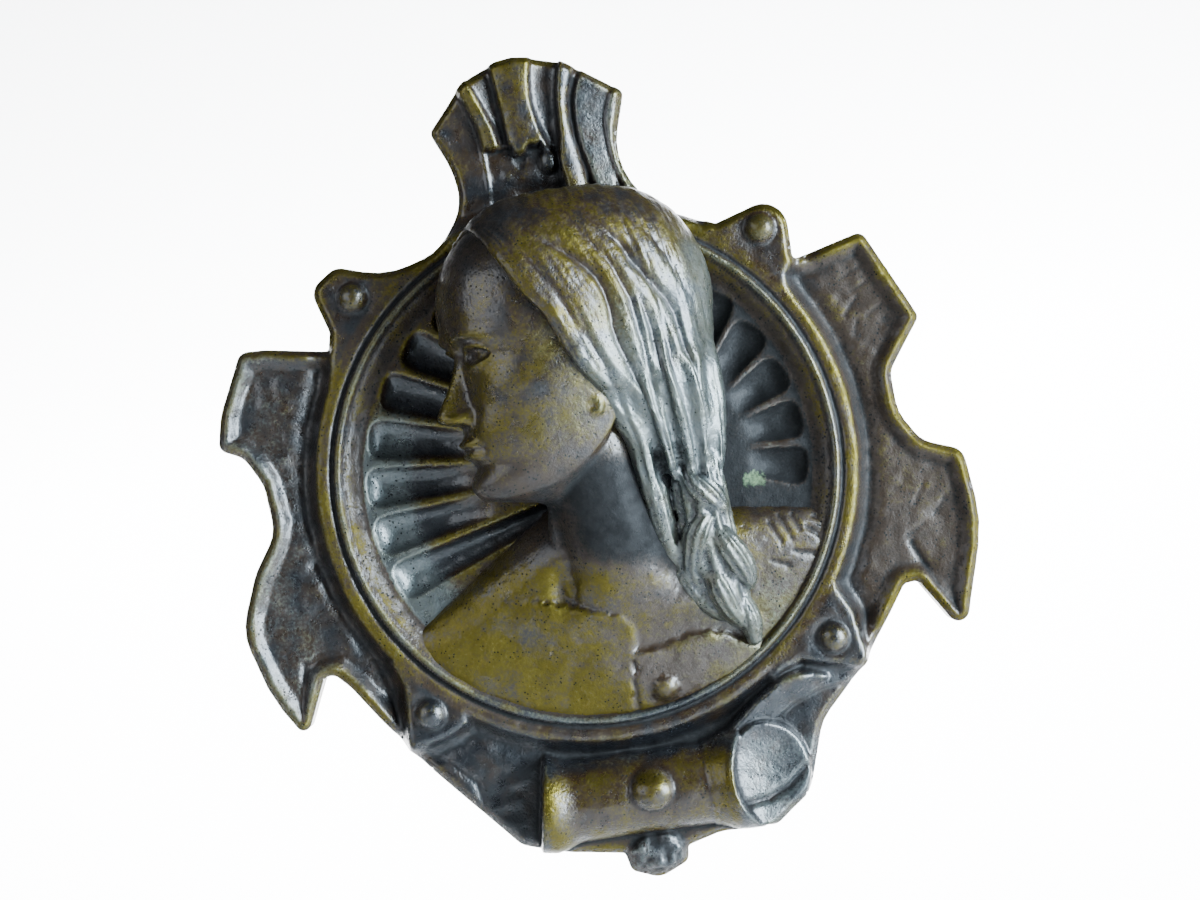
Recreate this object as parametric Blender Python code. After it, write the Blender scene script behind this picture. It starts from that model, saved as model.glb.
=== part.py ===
"""Cast bronze relief plaque: a bust in profile with a braid, in a round medallion on a strapwork cartouche.

Lengths are in millimetres and become metres when a mesh is made. Across is u, up is v, and height is the
distance in front of the flat back. The plaque stands upright: u runs along +X, v along +Z and height
along -Y, with the origin on the back, behind the middle of the four rivets.
"""

import math

import bmesh
import bpy
import numpy as np

METRES = 0.001

# The plate
WING_LEVEL = 4.5
EDGE_DROP = 1.2
EDGE_ROUND = 1.4
RIM_RISE = 1.7
RIM_INSIDE = (1.3, 4.2)
STRAP_LEVEL = 8.2
STRAP_COVE = 3.2

# The medallion
MEDALLION = (-1.2, 0.0)
BEAD_RADIUS = 49.7
BEAD_HALF_WIDTH = 0.9
BEAD_RISE = 1.0
STRAP_RADIUS = 54.0
DISH_RADIUS = 45.0
DISH_LEVEL = 6.2

# The fluted shell behind the head: the flutes' ends are evenly spaced round the dish, in degrees
FLUTE_FOCUS = (14.0, 0.5)
FLUTE_COUNT = 17
FLUTE_FIRST = 200.5
FLUTE_STEP = -13.1
FLUTE_HALF = 4.25
FLUTE_DEPTH = 2.3
FLUTE_FADE = (0.55, 0.78)
FIRST_FADE = (0.15, 0.5)
FLUTE_REACH = 44.3

# Rivets, each (across, up)
RIVETS = ((-41.0, 42.4), (41.4, 41.4), (-40.6, -42.0), (41.2, -41.4))
RIVET_RADIUS = 3.1
RIVET_RISE = 2.3

# The wings, beyond the ring and its ears, reach this far from the middle to both sides
WING_START = 48.0
WING_REACH = 75.3

# The fan at the top, and the height its outline is drawn up to
FAN_BASE = 52.0
FAN_TOP = 84.4
FAN_CURL = 1.8
FAN_BREAK = 65.8

# The roll at the bottom, a little lower on the right, which flares at both ends
ROLL_AXIS = -65.2
ROLL_SLOPE = -0.04
ROLL_RADIUS = 8.3
ROLL_LEVEL = 5.4
FLARE = 1.8
FLARE_LEFT = (-14.6, -21.0)
FLARE_RIGHT = (11.4, 17.5)
ROLL_RIVET = (0.2, -63.8)
ROLL_RIVET_RADIUS = 4.2
SWAG_LEVEL = 5.8
FOOT = (-1.2, -77.4)
FOOT_RADII = (6.4, 4.6)
FOOT_LEVEL = 8.0

# The bust below the neck
SHOULDER_LEFT = ((-42.5, -26.6), (-12.0, -7.4))
SHOULDER_RIGHT = ((10.0, -9.4), (48.0, -15.6))
SHOULDER_ROUND = 9.0
CHEST_EDGE = 7.6
CHEST_RISE = 7.0
NECK_ROOT_RISE = 4.5
KNOT = (6.4, -45.2)
KNOT_RADIUS = 2.6
COLLAR_BONE_HALF = 2.6

# The head
HEAD_HEIGHT = 56.0
HEAD_YAW = 20.0
HEAD_AXIS = (-0.6, 13.0)
CHIN_LEVEL = -2.6
RELIEF_SQUEEZE = 0.9
HAIR_THICKNESS = 2.9

# The surface that every shape is melted into, and how far it is then thinned
GRID_SIZE = 0.8
MELT_SIZE = 0.85
BACK_SPARE = 3.0
TRIANGLES = 9700


def smooth(low, high, x):
    """A soft step from 0 at low to 1 at high."""
    t = np.clip((x - low) / (high - low), 0.0, 1.0)
    return t * t * (3.0 - 2.0 * t)


def bump(distance, width):
    """A soft hill of height 1."""
    return np.exp(-((distance / width) ** 2))


def crown(distance, half_width):
    """A round ridge of height 1 at the middle and 0 at its sides."""
    return np.sqrt(np.clip(1.0 - (distance / half_width) ** 2, 0.0, 1.0))


def soft_max(a, b, blend):
    """The larger of two heights, with a fillet where they meet."""
    mix = np.clip(0.5 + 0.5 * (a - b) / blend, 0.0, 1.0)
    return b * (1.0 - mix) + a * mix + blend * mix * (1.0 - mix)


def curve(x, knots):
    """A smooth line through (x, y) knots that rise in x, held level past both ends."""
    xs, ys = np.array(knots, float).T
    slopes = np.gradient(ys, xs)
    x = np.clip(x, xs[0], xs[-1])
    i = np.clip(np.searchsorted(xs, x) - 1, 0, len(xs) - 2)
    step = xs[i + 1] - xs[i]
    t = (x - xs[i]) / step
    rise = 3.0 * t * t - 2.0 * t ** 3
    start = (t ** 3 - 2.0 * t * t + t) * step * slopes[i]
    end = (t ** 3 - t * t) * step * slopes[i + 1]
    return ys[i] * (1.0 - rise) + ys[i + 1] * rise + start + end


def path(knots, count):
    """count points along a smooth path through knots of any dimension."""
    knots = np.array(knots, float)
    steps = np.linalg.norm(np.diff(knots, axis=0), axis=1)
    along = np.concatenate([[0.0], np.cumsum(steps)])
    t = np.linspace(0.0, along[-1], count)
    return np.stack([curve(t, list(zip(along, column))) for column in knots.T], axis=1)


def line_distance(u, v, points):
    """Distance to a line through points, and 1 on the right of the way it runs or -1 on the left."""
    best = np.full(np.shape(u), np.inf)
    side = np.ones(np.shape(u))
    for (au, av), (bu, bv) in zip(points[:-1], points[1:]):
        du, dv = bu - au, bv - av
        t = np.clip(((u - au) * du + (v - av) * dv) / (du * du + dv * dv), 0.0, 1.0)
        distance = np.hypot(u - au - t * du, v - av - t * dv)
        nearer = distance < best
        best = np.where(nearer, distance, best)
        side = np.where(nearer, np.sign((u - au) * dv - (v - av) * du), side)
    return best, side


def inside_distance(u, v, polygon):
    """Distance to a closed outline, positive inside it."""
    best = np.full(np.shape(u), np.inf)
    inside = np.zeros(np.shape(u), bool)
    for (au, av), (bu, bv) in zip(polygon, np.roll(polygon, -1, axis=0)):
        du, dv = bu - au, bv - av
        t = np.clip(((u - au) * du + (v - av) * dv) / max(du * du + dv * dv, 1e-12), 0.0, 1.0)
        best = np.minimum(best, np.hypot(u - au - t * du, v - av - t * dv))
        if dv:
            inside ^= ((av > v) != (bv > v)) & (u < au + du * (v - av) / dv)
    return np.where(inside, best, -best)


# Corners of the plaque's outline, clockwise from the fan, each (across, up, corner radius)
FAN_RIGHT = ((-3.0, 84.4, 18.0), (8.3, 81.4, 16.0), (19.6, 73.4, 1.2), (15.3, 61.0, 15.0), (20.5, 50.2, 16.0))
EAR_RIGHT = ((33.0, 44.1, 0.8), (47.3, 47.9, 5.5), (46.9, 34.3, 0.8))
WING_RIGHT = ((61.7, 37.5, 2.0), (69.9, 18.6, 1.6), (62.3, 8.8, 4.0), (62.3, 0.5, 8.0), (66.0, -6.0, 6.0),
              (73.8, -9.2, 3.5), (75.0, -24.0, 25.0), (67.7, -46.2, 2.2), (60.3, -33.6, 1.6), (57.4, -33.7, 1.6))
SWAG_RIGHT = ((46.8, -48.0, 12.0), (36.4, -57.6, 9.0), (31.6, -70.8, 6.0), (22.0, -76.9, 8.0), (12.5, -76.0, 6.0))
FOOT_EDGE = ((5.3, -77.6, 0.8), (4.8, -80.6, 2.0), (-1.4, -83.0, 4.0), (-6.8, -80.6, 2.0), (-7.5, -76.9, 0.8))
SWAG_LEFT = ((-19.0, -74.6, 20.0), (-27.6, -71.6, 5.0), (-46.0, -49.2, 30.0), (-55.5, -34.5, 8.0))
WING_LEFT = ((-59.8, -29.6, 2.0), (-66.2, -42.8, 1.6), (-71.5, -34.0, 20.0), (-75.3, -19.5, 12.0),
             (-70.5, -8.5, 8.0), (-65.2, -1.0, 8.0), (-65.6, 9.0, 8.0), (-68.6, 15.0, 5.0), (-73.3, 17.4, 2.0),
             (-71.5, 24.5, 10.0), (-65.6, 36.0, 2.5), (-60.5, 35.6, 6.0), (-47.8, 33.0, 0.8))
EAR_LEFT = ((-46.8, 36.5, 2.0), (-49.2, 45.6, 3.5), (-43.4, 49.2, 3.5), (-33.5, 45.6, 20.0), (-22.5, 48.6, 9.0))
FAN_LEFT = ((-16.2, 57.5, 12.0), (-17.2, 65.0, 12.0), (-20.1, 72.3, 1.6), (-12.2, 80.6, 12.0))
CORNERS = (FAN_RIGHT + EAR_RIGHT + WING_RIGHT + SWAG_RIGHT + FOOT_EDGE + SWAG_LEFT + WING_LEFT + EAR_LEFT
           + FAN_LEFT)

# The strap layer's ears, each around a rivet, clockwise
EARS = (
    ((30.0, 42.0), (33.0, 49.0), (54.0, 52.0), (47.4, 35.0), (44.6, 31.5), (45.0, 26.0), (30.0, 30.0)),
    ((43.2, -31.2), (45.8, -37.0), (47.4, -48.5), (41.5, -46.6), (34.0, -44.6), (28.0, -47.0), (30.0, -30.0)),
    ((-34.0, -45.2), (-38.0, -46.8), (-46.0, -48.6), (-45.0, -41.0), (-44.6, -36.0), (-46.0, -31.0),
     (-30.0, -30.0)),
    ((-48.4, 26.0), (-47.2, 33.0), (-52.0, 46.0), (-43.0, 54.0), (-26.0, 50.0), (-26.0, 42.0), (-30.0, 30.0)),
)


def stretched(corners):
    """The outline's corners, with the wings drawn out to WING_REACH and the fan up to FAN_TOP."""
    wing = (WING_REACH - WING_START) / (max(abs(u) for u, v, radius in corners) - WING_START)
    fan = (FAN_TOP - FAN_BASE) / (max(v for u, v, radius in corners) - FAN_BASE)
    return [(math.copysign(abs(u) + max(abs(u) - WING_START, 0.0) * (wing - 1.0), u),
             v + max(v - FAN_BASE, 0.0) * (fan - 1.0), radius) for u, v, radius in corners]


def rounded(corners, arc_step=12.0):
    """The closed outline through corners, each turned by an arc of its radius."""
    points = []
    for i, (u, v, radius) in enumerate(corners):
        here = np.array((u, v))
        before = np.array(corners[i - 1][:2]) - here
        after = np.array(corners[(i + 1) % len(corners)][:2]) - here
        reach_before, reach_after = np.linalg.norm(before), np.linalg.norm(after)
        before, after = before / reach_before, after / reach_after
        half = math.acos(np.clip(before @ after, -1.0, 1.0)) / 2.0
        reach = min(radius / math.tan(half), 0.49 * reach_before, 0.49 * reach_after)
        radius = reach * math.tan(half)
        centre = here + (before + after) / np.linalg.norm(before + after) * radius / math.sin(half)
        start = here + before * reach - centre
        end = here + after * reach - centre
        sweep = math.atan2(start[0] * end[1] - start[1] * end[0], start @ end)
        steps = max(1, round(abs(math.degrees(sweep)) / arc_step))
        for turn in np.linspace(0.0, sweep, steps + 1):
            c, s = math.cos(turn), math.sin(turn)
            points.append(centre + (c * start[0] - s * start[1], s * start[0] + c * start[1]))
    return np.array(points)


def medallion_radius(u, v):
    return np.hypot(u - MEDALLION[0], v - MEDALLION[1])


def strap_distance(u, v):
    """How far inside the strap layer, which is the ring and its four ears."""
    inside = STRAP_RADIUS - medallion_radius(u, v)
    for ear in EARS:
        inside = soft_max(inside, inside_distance(u, v, ear), 1.0)
    return inside


def flutes(u, v):
    """Depth of the shell's flutes, which narrow from the dish's rim towards a point behind the hair."""
    depth = np.zeros(np.shape(u))
    for k in range(FLUTE_COUNT):
        turn = math.radians(FLUTE_FIRST + FLUTE_STEP * k)
        run_u = MEDALLION[0] + FLUTE_REACH * math.cos(turn) - FLUTE_FOCUS[0]
        run_v = MEDALLION[1] + FLUTE_REACH * math.sin(turn) - FLUTE_FOCUS[1]
        length = math.hypot(run_u, run_v)
        along = ((u - FLUTE_FOCUS[0]) * run_u + (v - FLUTE_FOCUS[1]) * run_v) / length
        aside = np.abs((v - FLUTE_FOCUS[1]) * run_u - (u - FLUTE_FOCUS[0]) * run_v) / length
        width = FLUTE_HALF * np.clip(along / length, 0.1, 1.0)
        past_end = np.clip(along - (length - FLUTE_HALF), 0.0, None)
        from_middle = np.clip((aside / width) ** 3 + (past_end / FLUTE_HALF) ** 3, 0.0, 1.0) ** (1.0 / 3.0)
        fade = FLUTE_FADE if k else FIRST_FADE
        hollow = FLUTE_DEPTH * smooth(*fade, along / length) * (1.0 - from_middle ** 2) ** 0.7
        depth = np.maximum(depth, hollow)
    return depth


def medallion(u, v):
    """The dish with its flutes, and the thin bead round it."""
    radius = medallion_radius(u, v)
    dish = DISH_LEVEL + (STRAP_LEVEL - DISH_LEVEL) * smooth(DISH_RADIUS, BEAD_RADIUS - BEAD_HALF_WIDTH, radius)
    bead = BEAD_RISE * crown(radius - BEAD_RADIUS, BEAD_HALF_WIDTH)
    groove = 0.6 * bump(radius - BEAD_RADIUS - 1.3, 0.55)
    return dish - flutes(u, v) + bead - groove


def rivet(u, v, centre, radius=RIVET_RADIUS):
    """A worn, domed rivet head."""
    distance = np.hypot(u - centre[0], v - centre[1])
    return RIVET_RISE * crown(distance, radius) ** 1.4 - 0.15 * bump(distance - radius - 0.4, 0.8)


# The lines between the fan's ribs and flutes as (up, across), and each form's level on its left and its
# right side and how far it swells
FAN_LINES = (
    ((52.0, -11.0), (65.0, -10.2), (70.0, -10.5), (75.0, -11.8), (80.0, -13.6)),
    ((52.0, -7.4), (66.0, -6.8), (70.0, -7.3), (74.0, -8.5), (79.0, -10.2), (83.0, -12.0)),
    ((52.0, -4.6), (66.0, -4.9), (72.0, -5.2), (83.0, -6.0)),
    ((52.0, 3.4), (66.0, 2.4), (70.0, 1.5), (75.0, 1.0), (80.0, 1.6), (84.0, 2.6)),
    ((52.0, 5.2), (58.0, 5.0), (62.0, 4.7), (66.0, 5.4), (70.0, 5.8), (75.0, 6.3), (81.0, 7.8), (84.0, 8.8)),
    ((52.0, 9.8), (62.0, 8.8), (66.0, 8.3), (70.0, 8.1), (75.0, 8.8), (80.0, 10.8), (83.0, 12.0)),
    ((52.0, 11.6), (60.0, 10.2), (65.0, 9.3), (70.0, 9.2), (74.0, 9.8), (79.0, 12.0), (82.0, 13.6)),
    ((52.0, 17.4), (57.0, 15.9), (61.0, 15.1), (66.0, 14.9), (71.0, 15.9), (75.0, 18.2), (78.0, 20.6)),
)
FAN_FORMS = ((6.2, 6.0, -0.4), (7.6, 8.3, 0.3), (7.2, 6.3, -0.3), (8.2, 8.6, 0.4), (7.5, 7.0, -0.8),
             (9.0, 7.8, 0.4), (6.8, 6.8, 0.0), (8.0, 6.8, 0.1), (7.8, 6.2, 0.2))


def fan(u, v):
    """The fan above the medallion: ribs with flutes between them, broken off short below the middle one."""
    lines = [-21.0 + 0.0 * v] + [curve(v, knots) for knots in FAN_LINES] + [21.0 + 0.0 * v]
    height = np.zeros(np.shape(u))
    for k, (left_level, right_level, swell) in enumerate(FAN_FORMS):
        left, right = lines[k], lines[k + 1]
        t = np.clip((u - left) / (right - left), 0.0, 1.0)
        form = left_level + (right_level - left_level) * t + swell * 4.0 * t * (1.0 - t)
        share = smooth(left - 0.4, left + 0.4, u) * (1.0 - smooth(right - 0.4, right + 0.4, u))
        height = height + form * share
    whole = np.where(u > lines[5] - 0.3, 1.0, smooth(-0.5, 0.5, v - FAN_BREAK))
    stump = 5.6 + 1.7 * crown(np.hypot((u - 2.4) / 1.9, (v - 62.6) / 2.6), 1.0)
    stump = stump - 0.9 * crown(np.hypot((u + 3.2) / 1.6, (v - 65.4) / 3.6), 1.0)
    on_ribs = smooth(lines[1] - 0.6, lines[1] + 0.6, u)
    stump = stump * on_ribs + height * (1.0 - on_ribs)
    return height * whole + stump * (1.0 - whole) + FAN_CURL * smooth(64.0, 84.0, v)


def fan_share(u, v):
    return smooth(FAN_BASE - 3.0, FAN_BASE + 2.0, v) * (1.0 - smooth(20.0, 26.0, np.abs(u)))


# The strap from the right lower ear to the concave disc at the roll's end, and a crease on the left
STRAP = ((18.5, -58.0), (24.2, -53.4), (30.0, -50.0), (36.0, -48.0), (43.0, -47.4))
STRAP_HALF = 2.8
STRAP_RISE = 3.2
DISC = (23.4, -65.6)
DISC_RADII = (8.8, 10.6)
DISC_RISE = 5.2
DISC_HOLLOW = 1.3
DISC_CREASE = ((18.6, -70.6), (23.0, -70.6), (27.4, -69.0), (31.4, -66.0))
LEFT_CREASE = ((-44.0, -49.6), (-38.0, -53.4), (-34.2, -57.4), (-33.4, -63.0))


def strap(u, v):
    """A band with its crest along the upper side, which slopes towards the outline."""
    distance, side = line_distance(u, v, STRAP)
    across = distance * side
    rise = STRAP_RISE * smooth(-STRAP_HALF - 0.7, -STRAP_HALF + 0.9, across)
    slope = 1.0 - 0.65 * smooth(-STRAP_HALF + 0.9, STRAP_HALF, across)
    return rise * slope * (1.0 - smooth(STRAP_HALF, STRAP_HALF + 0.9, across))


def disc(u, v):
    """The hollow end of the scroll, which slopes down to the right, with one curled crease."""
    reach = np.hypot((u - DISC[0]) / DISC_RADII[0], (v - DISC[1]) / DISC_RADII[1])
    rise = DISC_RISE - 0.24 * (u - 18.0) - DISC_HOLLOW * (1.0 - np.clip(reach, 0.0, 1.0) ** 2)
    rise = rise - 0.9 * bump(line_distance(u, v, DISC_CREASE)[0], 0.8)
    return rise * (1.0 - smooth(0.94, 1.05, reach))


def swags(u, v):
    """The surface below the medallion, plain on the left."""
    left = 0.5 * bump(line_distance(u, v, LEFT_CREASE)[0], 0.7)
    return SWAG_LEVEL + soft_max(strap(u, v), disc(u, v), 0.6) - left


def roll_sides(v):
    """Where the roll's slanting left end and its curved right end lie."""
    return -20.4 + 0.2 * (v + 55.5), 16.6 + 0.04 * (v + 65.0) ** 2


def roll(u, v):
    """A rolled scroll that lies across the bottom and flares at both ends, with a lip on the right one."""
    left, right = roll_sides(v)
    flare = smooth(*FLARE_RIGHT, u) + 1.0 - smooth(FLARE_LEFT[1], FLARE_LEFT[0], u)
    seam = 0.3 * smooth(FLARE_RIGHT[0] - 0.4, FLARE_RIGHT[0] + 0.4, u)
    aside = v - ROLL_AXIS - ROLL_SLOPE * u
    height = ROLL_LEVEL + np.sqrt(np.clip((ROLL_RADIUS + FLARE * flare + seam) ** 2 - aside ** 2, 0.0, None))
    height = height + 0.5 * bump(u - right + 0.9, 0.7)
    height = height * smooth(left - 0.5, left + 0.5, u) * (1.0 - smooth(right - 0.4, right + 0.6, u))
    return np.where(np.abs(aside) < ROLL_RADIUS + FLARE + 0.3, height, 0.0)


def foot(u, v):
    """The rough lump below the roll."""
    reach = np.hypot((u - FOOT[0]) / FOOT_RADII[0], (v - FOOT[1]) / FOOT_RADII[1])
    return (FOOT_LEVEL - 0.6) * crown(reach, 1.0) ** 0.4


# Lines cut into the wings' lower lobes
WING_CREASES = (((60.5, -26.0), (64.0, -35.0), (67.2, -41.0)), ((-64.0, -28.0), (-66.2, -39.0)))


def plate(u, v, edge):
    """Height of the whole cartouche in front of the back, at edge millimetres inside the outline."""
    strap = strap_distance(u, v)
    on_wing = smooth(46.5, 49.0, np.abs(u)) * smooth(-47.0, -44.0, v)
    low = WING_LEVEL + RIM_RISE * (1.0 - smooth(*RIM_INSIDE, edge)) * on_wing
    for crease in WING_CREASES:
        low = low - 0.6 * bump(line_distance(u, v, crease)[0], 0.7)
    below = 1.0 - smooth(-50.0, -46.0, v + 0.25 * (np.abs(u) - 40.0))
    low = low * (1.0 - below) + swags(u, v) * below
    share = fan_share(u, v)
    low = low * (1.0 - share) + fan(u, v) * share
    low = soft_max(low, roll(u, v), 0.4)
    step = (1.0 - np.clip(-strap / STRAP_COVE, 0.0, 1.0)) ** 1.9
    flat = STRAP_LEVEL - 0.3 * (1.0 - smooth(0.0, 1.0, strap))
    height = np.where(strap > -STRAP_COVE, np.maximum(low, low * (1.0 - step) + flat * step), low)
    height = height - 0.9 * bump(strap + STRAP_COVE - 0.3, 1.9) * (low < STRAP_LEVEL - 1.0) * (strap < 0.0)
    height = np.where(medallion_radius(u, v) < BEAD_RADIUS + 2.4, medallion(u, v), height)
    for centre in RIVETS:
        height = height + rivet(u, v, centre)
    height = height + rivet(u, v, ROLL_RIVET, ROLL_RIVET_RADIUS)
    height = np.maximum(height, foot(u, v))
    height = height - EDGE_DROP * (1.0 - smooth(0.0, EDGE_ROUND, edge)) * (height > 3.0)
    return soft_max(height, np.where(chest_reach(u, v) > 0.0, chest(u, v), 0.0), 0.3)


def below_line(u, v, line):
    """Distance below a straight line from left to right."""
    (au, av), (bu, bv) = line
    return ((u - au) * (bv - av) - (v - av) * (bu - au)) / math.hypot(bu - au, bv - av)


NECKLINE = ((-6.0, -26.5), (0.5, -28.5), (2.6, -31.4), (1.6, -36.4), (7.5, -36.9), (13.0, -35.2), (20.0, -36.4),
            (26.5, -40.0))
COLLAR_BONE = ((-6.5, -27.0), (4.0, -29.6), (14.0, -29.0))


def chest(u, v):
    """The shoulders and chest, seen from the front, which fill the foot of the medallion."""
    radius = medallion_radius(u, v)
    level = CHEST_EDGE + CHEST_RISE * (1.0 - np.clip(radius / BEAD_RADIUS, 0.0, 1.0) ** 2) ** 0.8
    inside = np.minimum(below_line(u, v, SHOULDER_LEFT), below_line(u, v, SHOULDER_RIGHT))
    turn = np.clip(inside / SHOULDER_ROUND, 0.0, 1.0)
    edge = 4.6
    level = edge + (level - edge) * np.sqrt(1.0 - (1.0 - turn) ** 2)
    neckline, side = line_distance(u, v, NECKLINE)
    cloth = 1.1 * smooth(-0.4, 0.4, neckline * side) * (1.0 - smooth(6.0, 16.0, neckline))
    knot = 1.6 * crown(np.hypot(u - KNOT[0], v - KNOT[1]), KNOT_RADIUS)
    collar_bone = 1.1 * bump(line_distance(u, v, COLLAR_BONE)[0], COLLAR_BONE_HALF)
    notch = 2.2 * bump(np.hypot(u + 8.0, v + 22.0), 4.0)
    neck_root = NECK_ROOT_RISE * np.exp(-(((u - 3.0) / 15.0) ** 2) - ((v + 17.0) / 11.0) ** 2)
    return level + cloth + knot + collar_bone - notch + neck_root


def chest_reach(u, v):
    """How far inside the chest's edge, which is the bead below and the shoulders above."""
    shoulders = np.minimum(below_line(u, v, SHOULDER_LEFT), below_line(u, v, SHOULDER_RIGHT))
    return np.minimum(shoulders, BEAD_RADIUS - 0.4 - medallion_radius(u, v))


# The head, in head heights. Level is 0 under the chin and 1 at the crown. These are the classical canons:
# the eyes at half height, and the hairline, brow, base of the nose and chin a third of the face apart.
FRONT = ((-0.06, 0.33), (-0.015, 0.37), (0.02, 0.398), (0.06, 0.412), (0.12, 0.402), (0.2, 0.416), (0.27, 0.418),
         (0.34, 0.408), (0.43, 0.402), (0.5, 0.41), (0.56, 0.43), (0.64, 0.438), (0.8, 0.437), (1.0, 0.43))
BACK = ((-0.06, 0.2), (0.1, 0.24), (0.22, 0.31), (0.32, 0.385), (0.42, 0.44), (0.52, 0.46), (1.0, 0.455))
SIDE = ((-0.06, 0.13), (0.0, 0.16), (0.06, 0.2), (0.14, 0.232), (0.24, 0.262), (0.36, 0.298), (0.46, 0.315),
        (0.6, 0.332), (1.0, 0.335))
NOSE_RISE = ((0.27, 0.0), (0.279, 0.03), (0.288, 0.066), (0.3, 0.09), (0.316, 0.099), (0.334, 0.095), (0.37, 0.076),
             (0.42, 0.048), (0.47, 0.02), (0.51, 0.004), (0.54, 0.0))
NOSE_WIDTH = ((0.27, 0.05), (0.3, 0.05), (0.33, 0.046), (0.38, 0.036), (0.44, 0.03), (0.5, 0.032), (0.54, 0.04))
EYE = (0.126, 0.5)
EYE_HALF = 0.066
MOUTH = 0.192
MOUTH_HALF = 0.088


def hill(x, level, at, across, up, rise):
    """A soft mound on the face at (sideways, level), with its own width and height."""
    return rise * np.exp(-(((x - at[0]) / across) ** 2) - ((level - at[1]) / up) ** 2)


def eye_relief(x, level):
    """The eyeball, its two lids and the fold above them."""
    from_middle = (x - EYE[0]) / EYE_HALF
    almond = np.clip(1.0 - from_middle ** 2, 0.0, 1.0)
    upper = EYE[1] + 0.031 * almond ** 0.7 + 0.004 * from_middle
    lower = EYE[1] - 0.021 * almond ** 0.8 + 0.002 * from_middle
    near = 1.0 - smooth(0.85, 1.15, np.abs(from_middle))
    opening = smooth(lower - 0.004, lower + 0.004, level) * (1.0 - smooth(upper - 0.004, upper + 0.004, level)) * near
    relief = hill(x, level, EYE, 0.055, 0.036, 0.024) - 0.016 * opening
    relief += 0.013 * bump(level - upper - 0.007, 0.008) * near
    relief -= 0.012 * bump(level - upper - 0.027, 0.008) * near
    relief += 0.009 * bump(level - lower + 0.009, 0.009) * near
    return relief


def face_relief(x, level):
    """What stands out of, or is sunk in, the plain mask of the face, at x sideways from the middle."""
    relief = curve(level, NOSE_RISE) * (1.0 - smooth(0.2, 1.45, x / curve(level, NOSE_WIDTH)))
    relief += hill(x, level, (0.052, 0.304), 0.019, 0.021, 0.04)
    relief -= hill(x, level, (0.082, 0.3), 0.012, 0.03, 0.008)
    relief -= hill(x, level, (0.03, 0.276), 0.016, 0.008, 0.03)
    brow = 0.558 + 0.018 * (1.0 - ((x - 0.12) / 0.11) ** 2)
    relief += 0.014 * bump(level - brow, 0.018) * smooth(0.02, 0.07, x) * (1.0 - smooth(0.18, 0.24, x))
    relief -= hill(x, level, (0.085, 0.512), 0.055, 0.036, 0.03)
    relief -= hill(x, level, (0.16, 0.505), 0.05, 0.036, 0.016)
    relief += eye_relief(x, level)
    relief += hill(x, level, (0.2, 0.405), 0.075, 0.06, 0.012)
    mouth_side = 1.0 - smooth(0.35, 1.05, x / MOUTH_HALF)
    bow = 0.004 * bump(x, 0.014) - 0.003 * bump(x - 0.022, 0.014)
    relief += 0.03 * bump(level - MOUTH - 0.019 + bow, 0.017) * mouth_side
    relief += 0.028 * bump(level - MOUTH + 0.021, 0.018) * mouth_side
    relief -= 0.012 * bump(level - MOUTH, 0.006) * (1.0 - smooth(0.8, 1.05, x / MOUTH_HALF))
    relief -= hill(x, level, (MOUTH_HALF + 0.004, MOUTH), 0.012, 0.014, 0.008)
    relief -= hill(x, level, (0.0, 0.25), 0.012, 0.022, 0.006)
    relief -= hill(x, level, (0.0, 0.128), 0.09, 0.02, 0.012)
    relief += hill(x, level, (0.0, 0.058), 0.075, 0.04, 0.02)
    return relief


def skull_radius(angle, level):
    """Distance of the plain mask from the head's upright axis; angle 0 is the front."""
    dome = (1.0 - np.clip((level - 0.6) / 0.4, 0.0, 1.0) ** 2.5) ** 0.4
    forward, sideways = np.cos(angle), np.abs(np.sin(angle))
    depth = np.where(forward > 0.0, curve(level, FRONT), curve(level, BACK)) * dome
    width = curve(level, SIDE) * dome
    power = 2.25
    return ((np.abs(forward) / np.maximum(depth, 1e-4)) ** power
            + (sideways / np.maximum(width, 1e-4)) ** power) ** (-1.0 / power)


JAW_EDGE = ((0.0, -0.005), (25.0, 0.0), (50.0, 0.035), (75.0, 0.095), (95.0, 0.17), (110.0, 0.27), (180.0, 0.3))


def head_radius(angle, level):
    """Distance of the skin from the head's upright axis, with the face and the edge of the jaw."""
    radius = skull_radius(angle, level)
    x = radius * np.abs(np.sin(angle))
    radius = radius + face_relief(x, level) * smooth(0.0, 0.35, np.cos(angle))
    jaw = curve(np.degrees(np.abs(angle)), JAW_EDGE)
    return 0.17 + (radius - 0.17) * smooth(jaw - 0.045, jaw + 0.02, level)


def place_head(radius, angle, level):
    """A point of the head, in head heights about its axis, as (across, up, height) on the plaque."""
    forward, sideways = radius * np.cos(angle), radius * np.sin(angle)
    yaw = math.radians(HEAD_YAW)
    across = HEAD_AXIS[0] + HEAD_HEIGHT * (-forward * math.cos(yaw) + sideways * math.sin(yaw))
    height = HEAD_AXIS[1] + HEAD_HEIGHT * RELIEF_SQUEEZE * (forward * math.sin(yaw) + sideways * math.cos(yaw))
    return across, CHIN_LEVEL + HEAD_HEIGHT * level, height


# The hair's edge against the face and neck, as (up, across)
HAIR_EDGE = ((-12.6, 13.7), (-3.8, 12.2), (2.0, 11.2), (8.3, 8.6), (11.6, 5.8), (14.9, 3.8), (18.1, 1.5),
             (20.9, -0.3), (24.6, -1.9), (28.4, -3.2), (31.6, -4.5), (34.9, -6.9), (38.7, -8.8), (43.1, -11.2),
             (47.3, -13.7), (50.0, -18.0), (51.0, -24.0))


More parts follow.
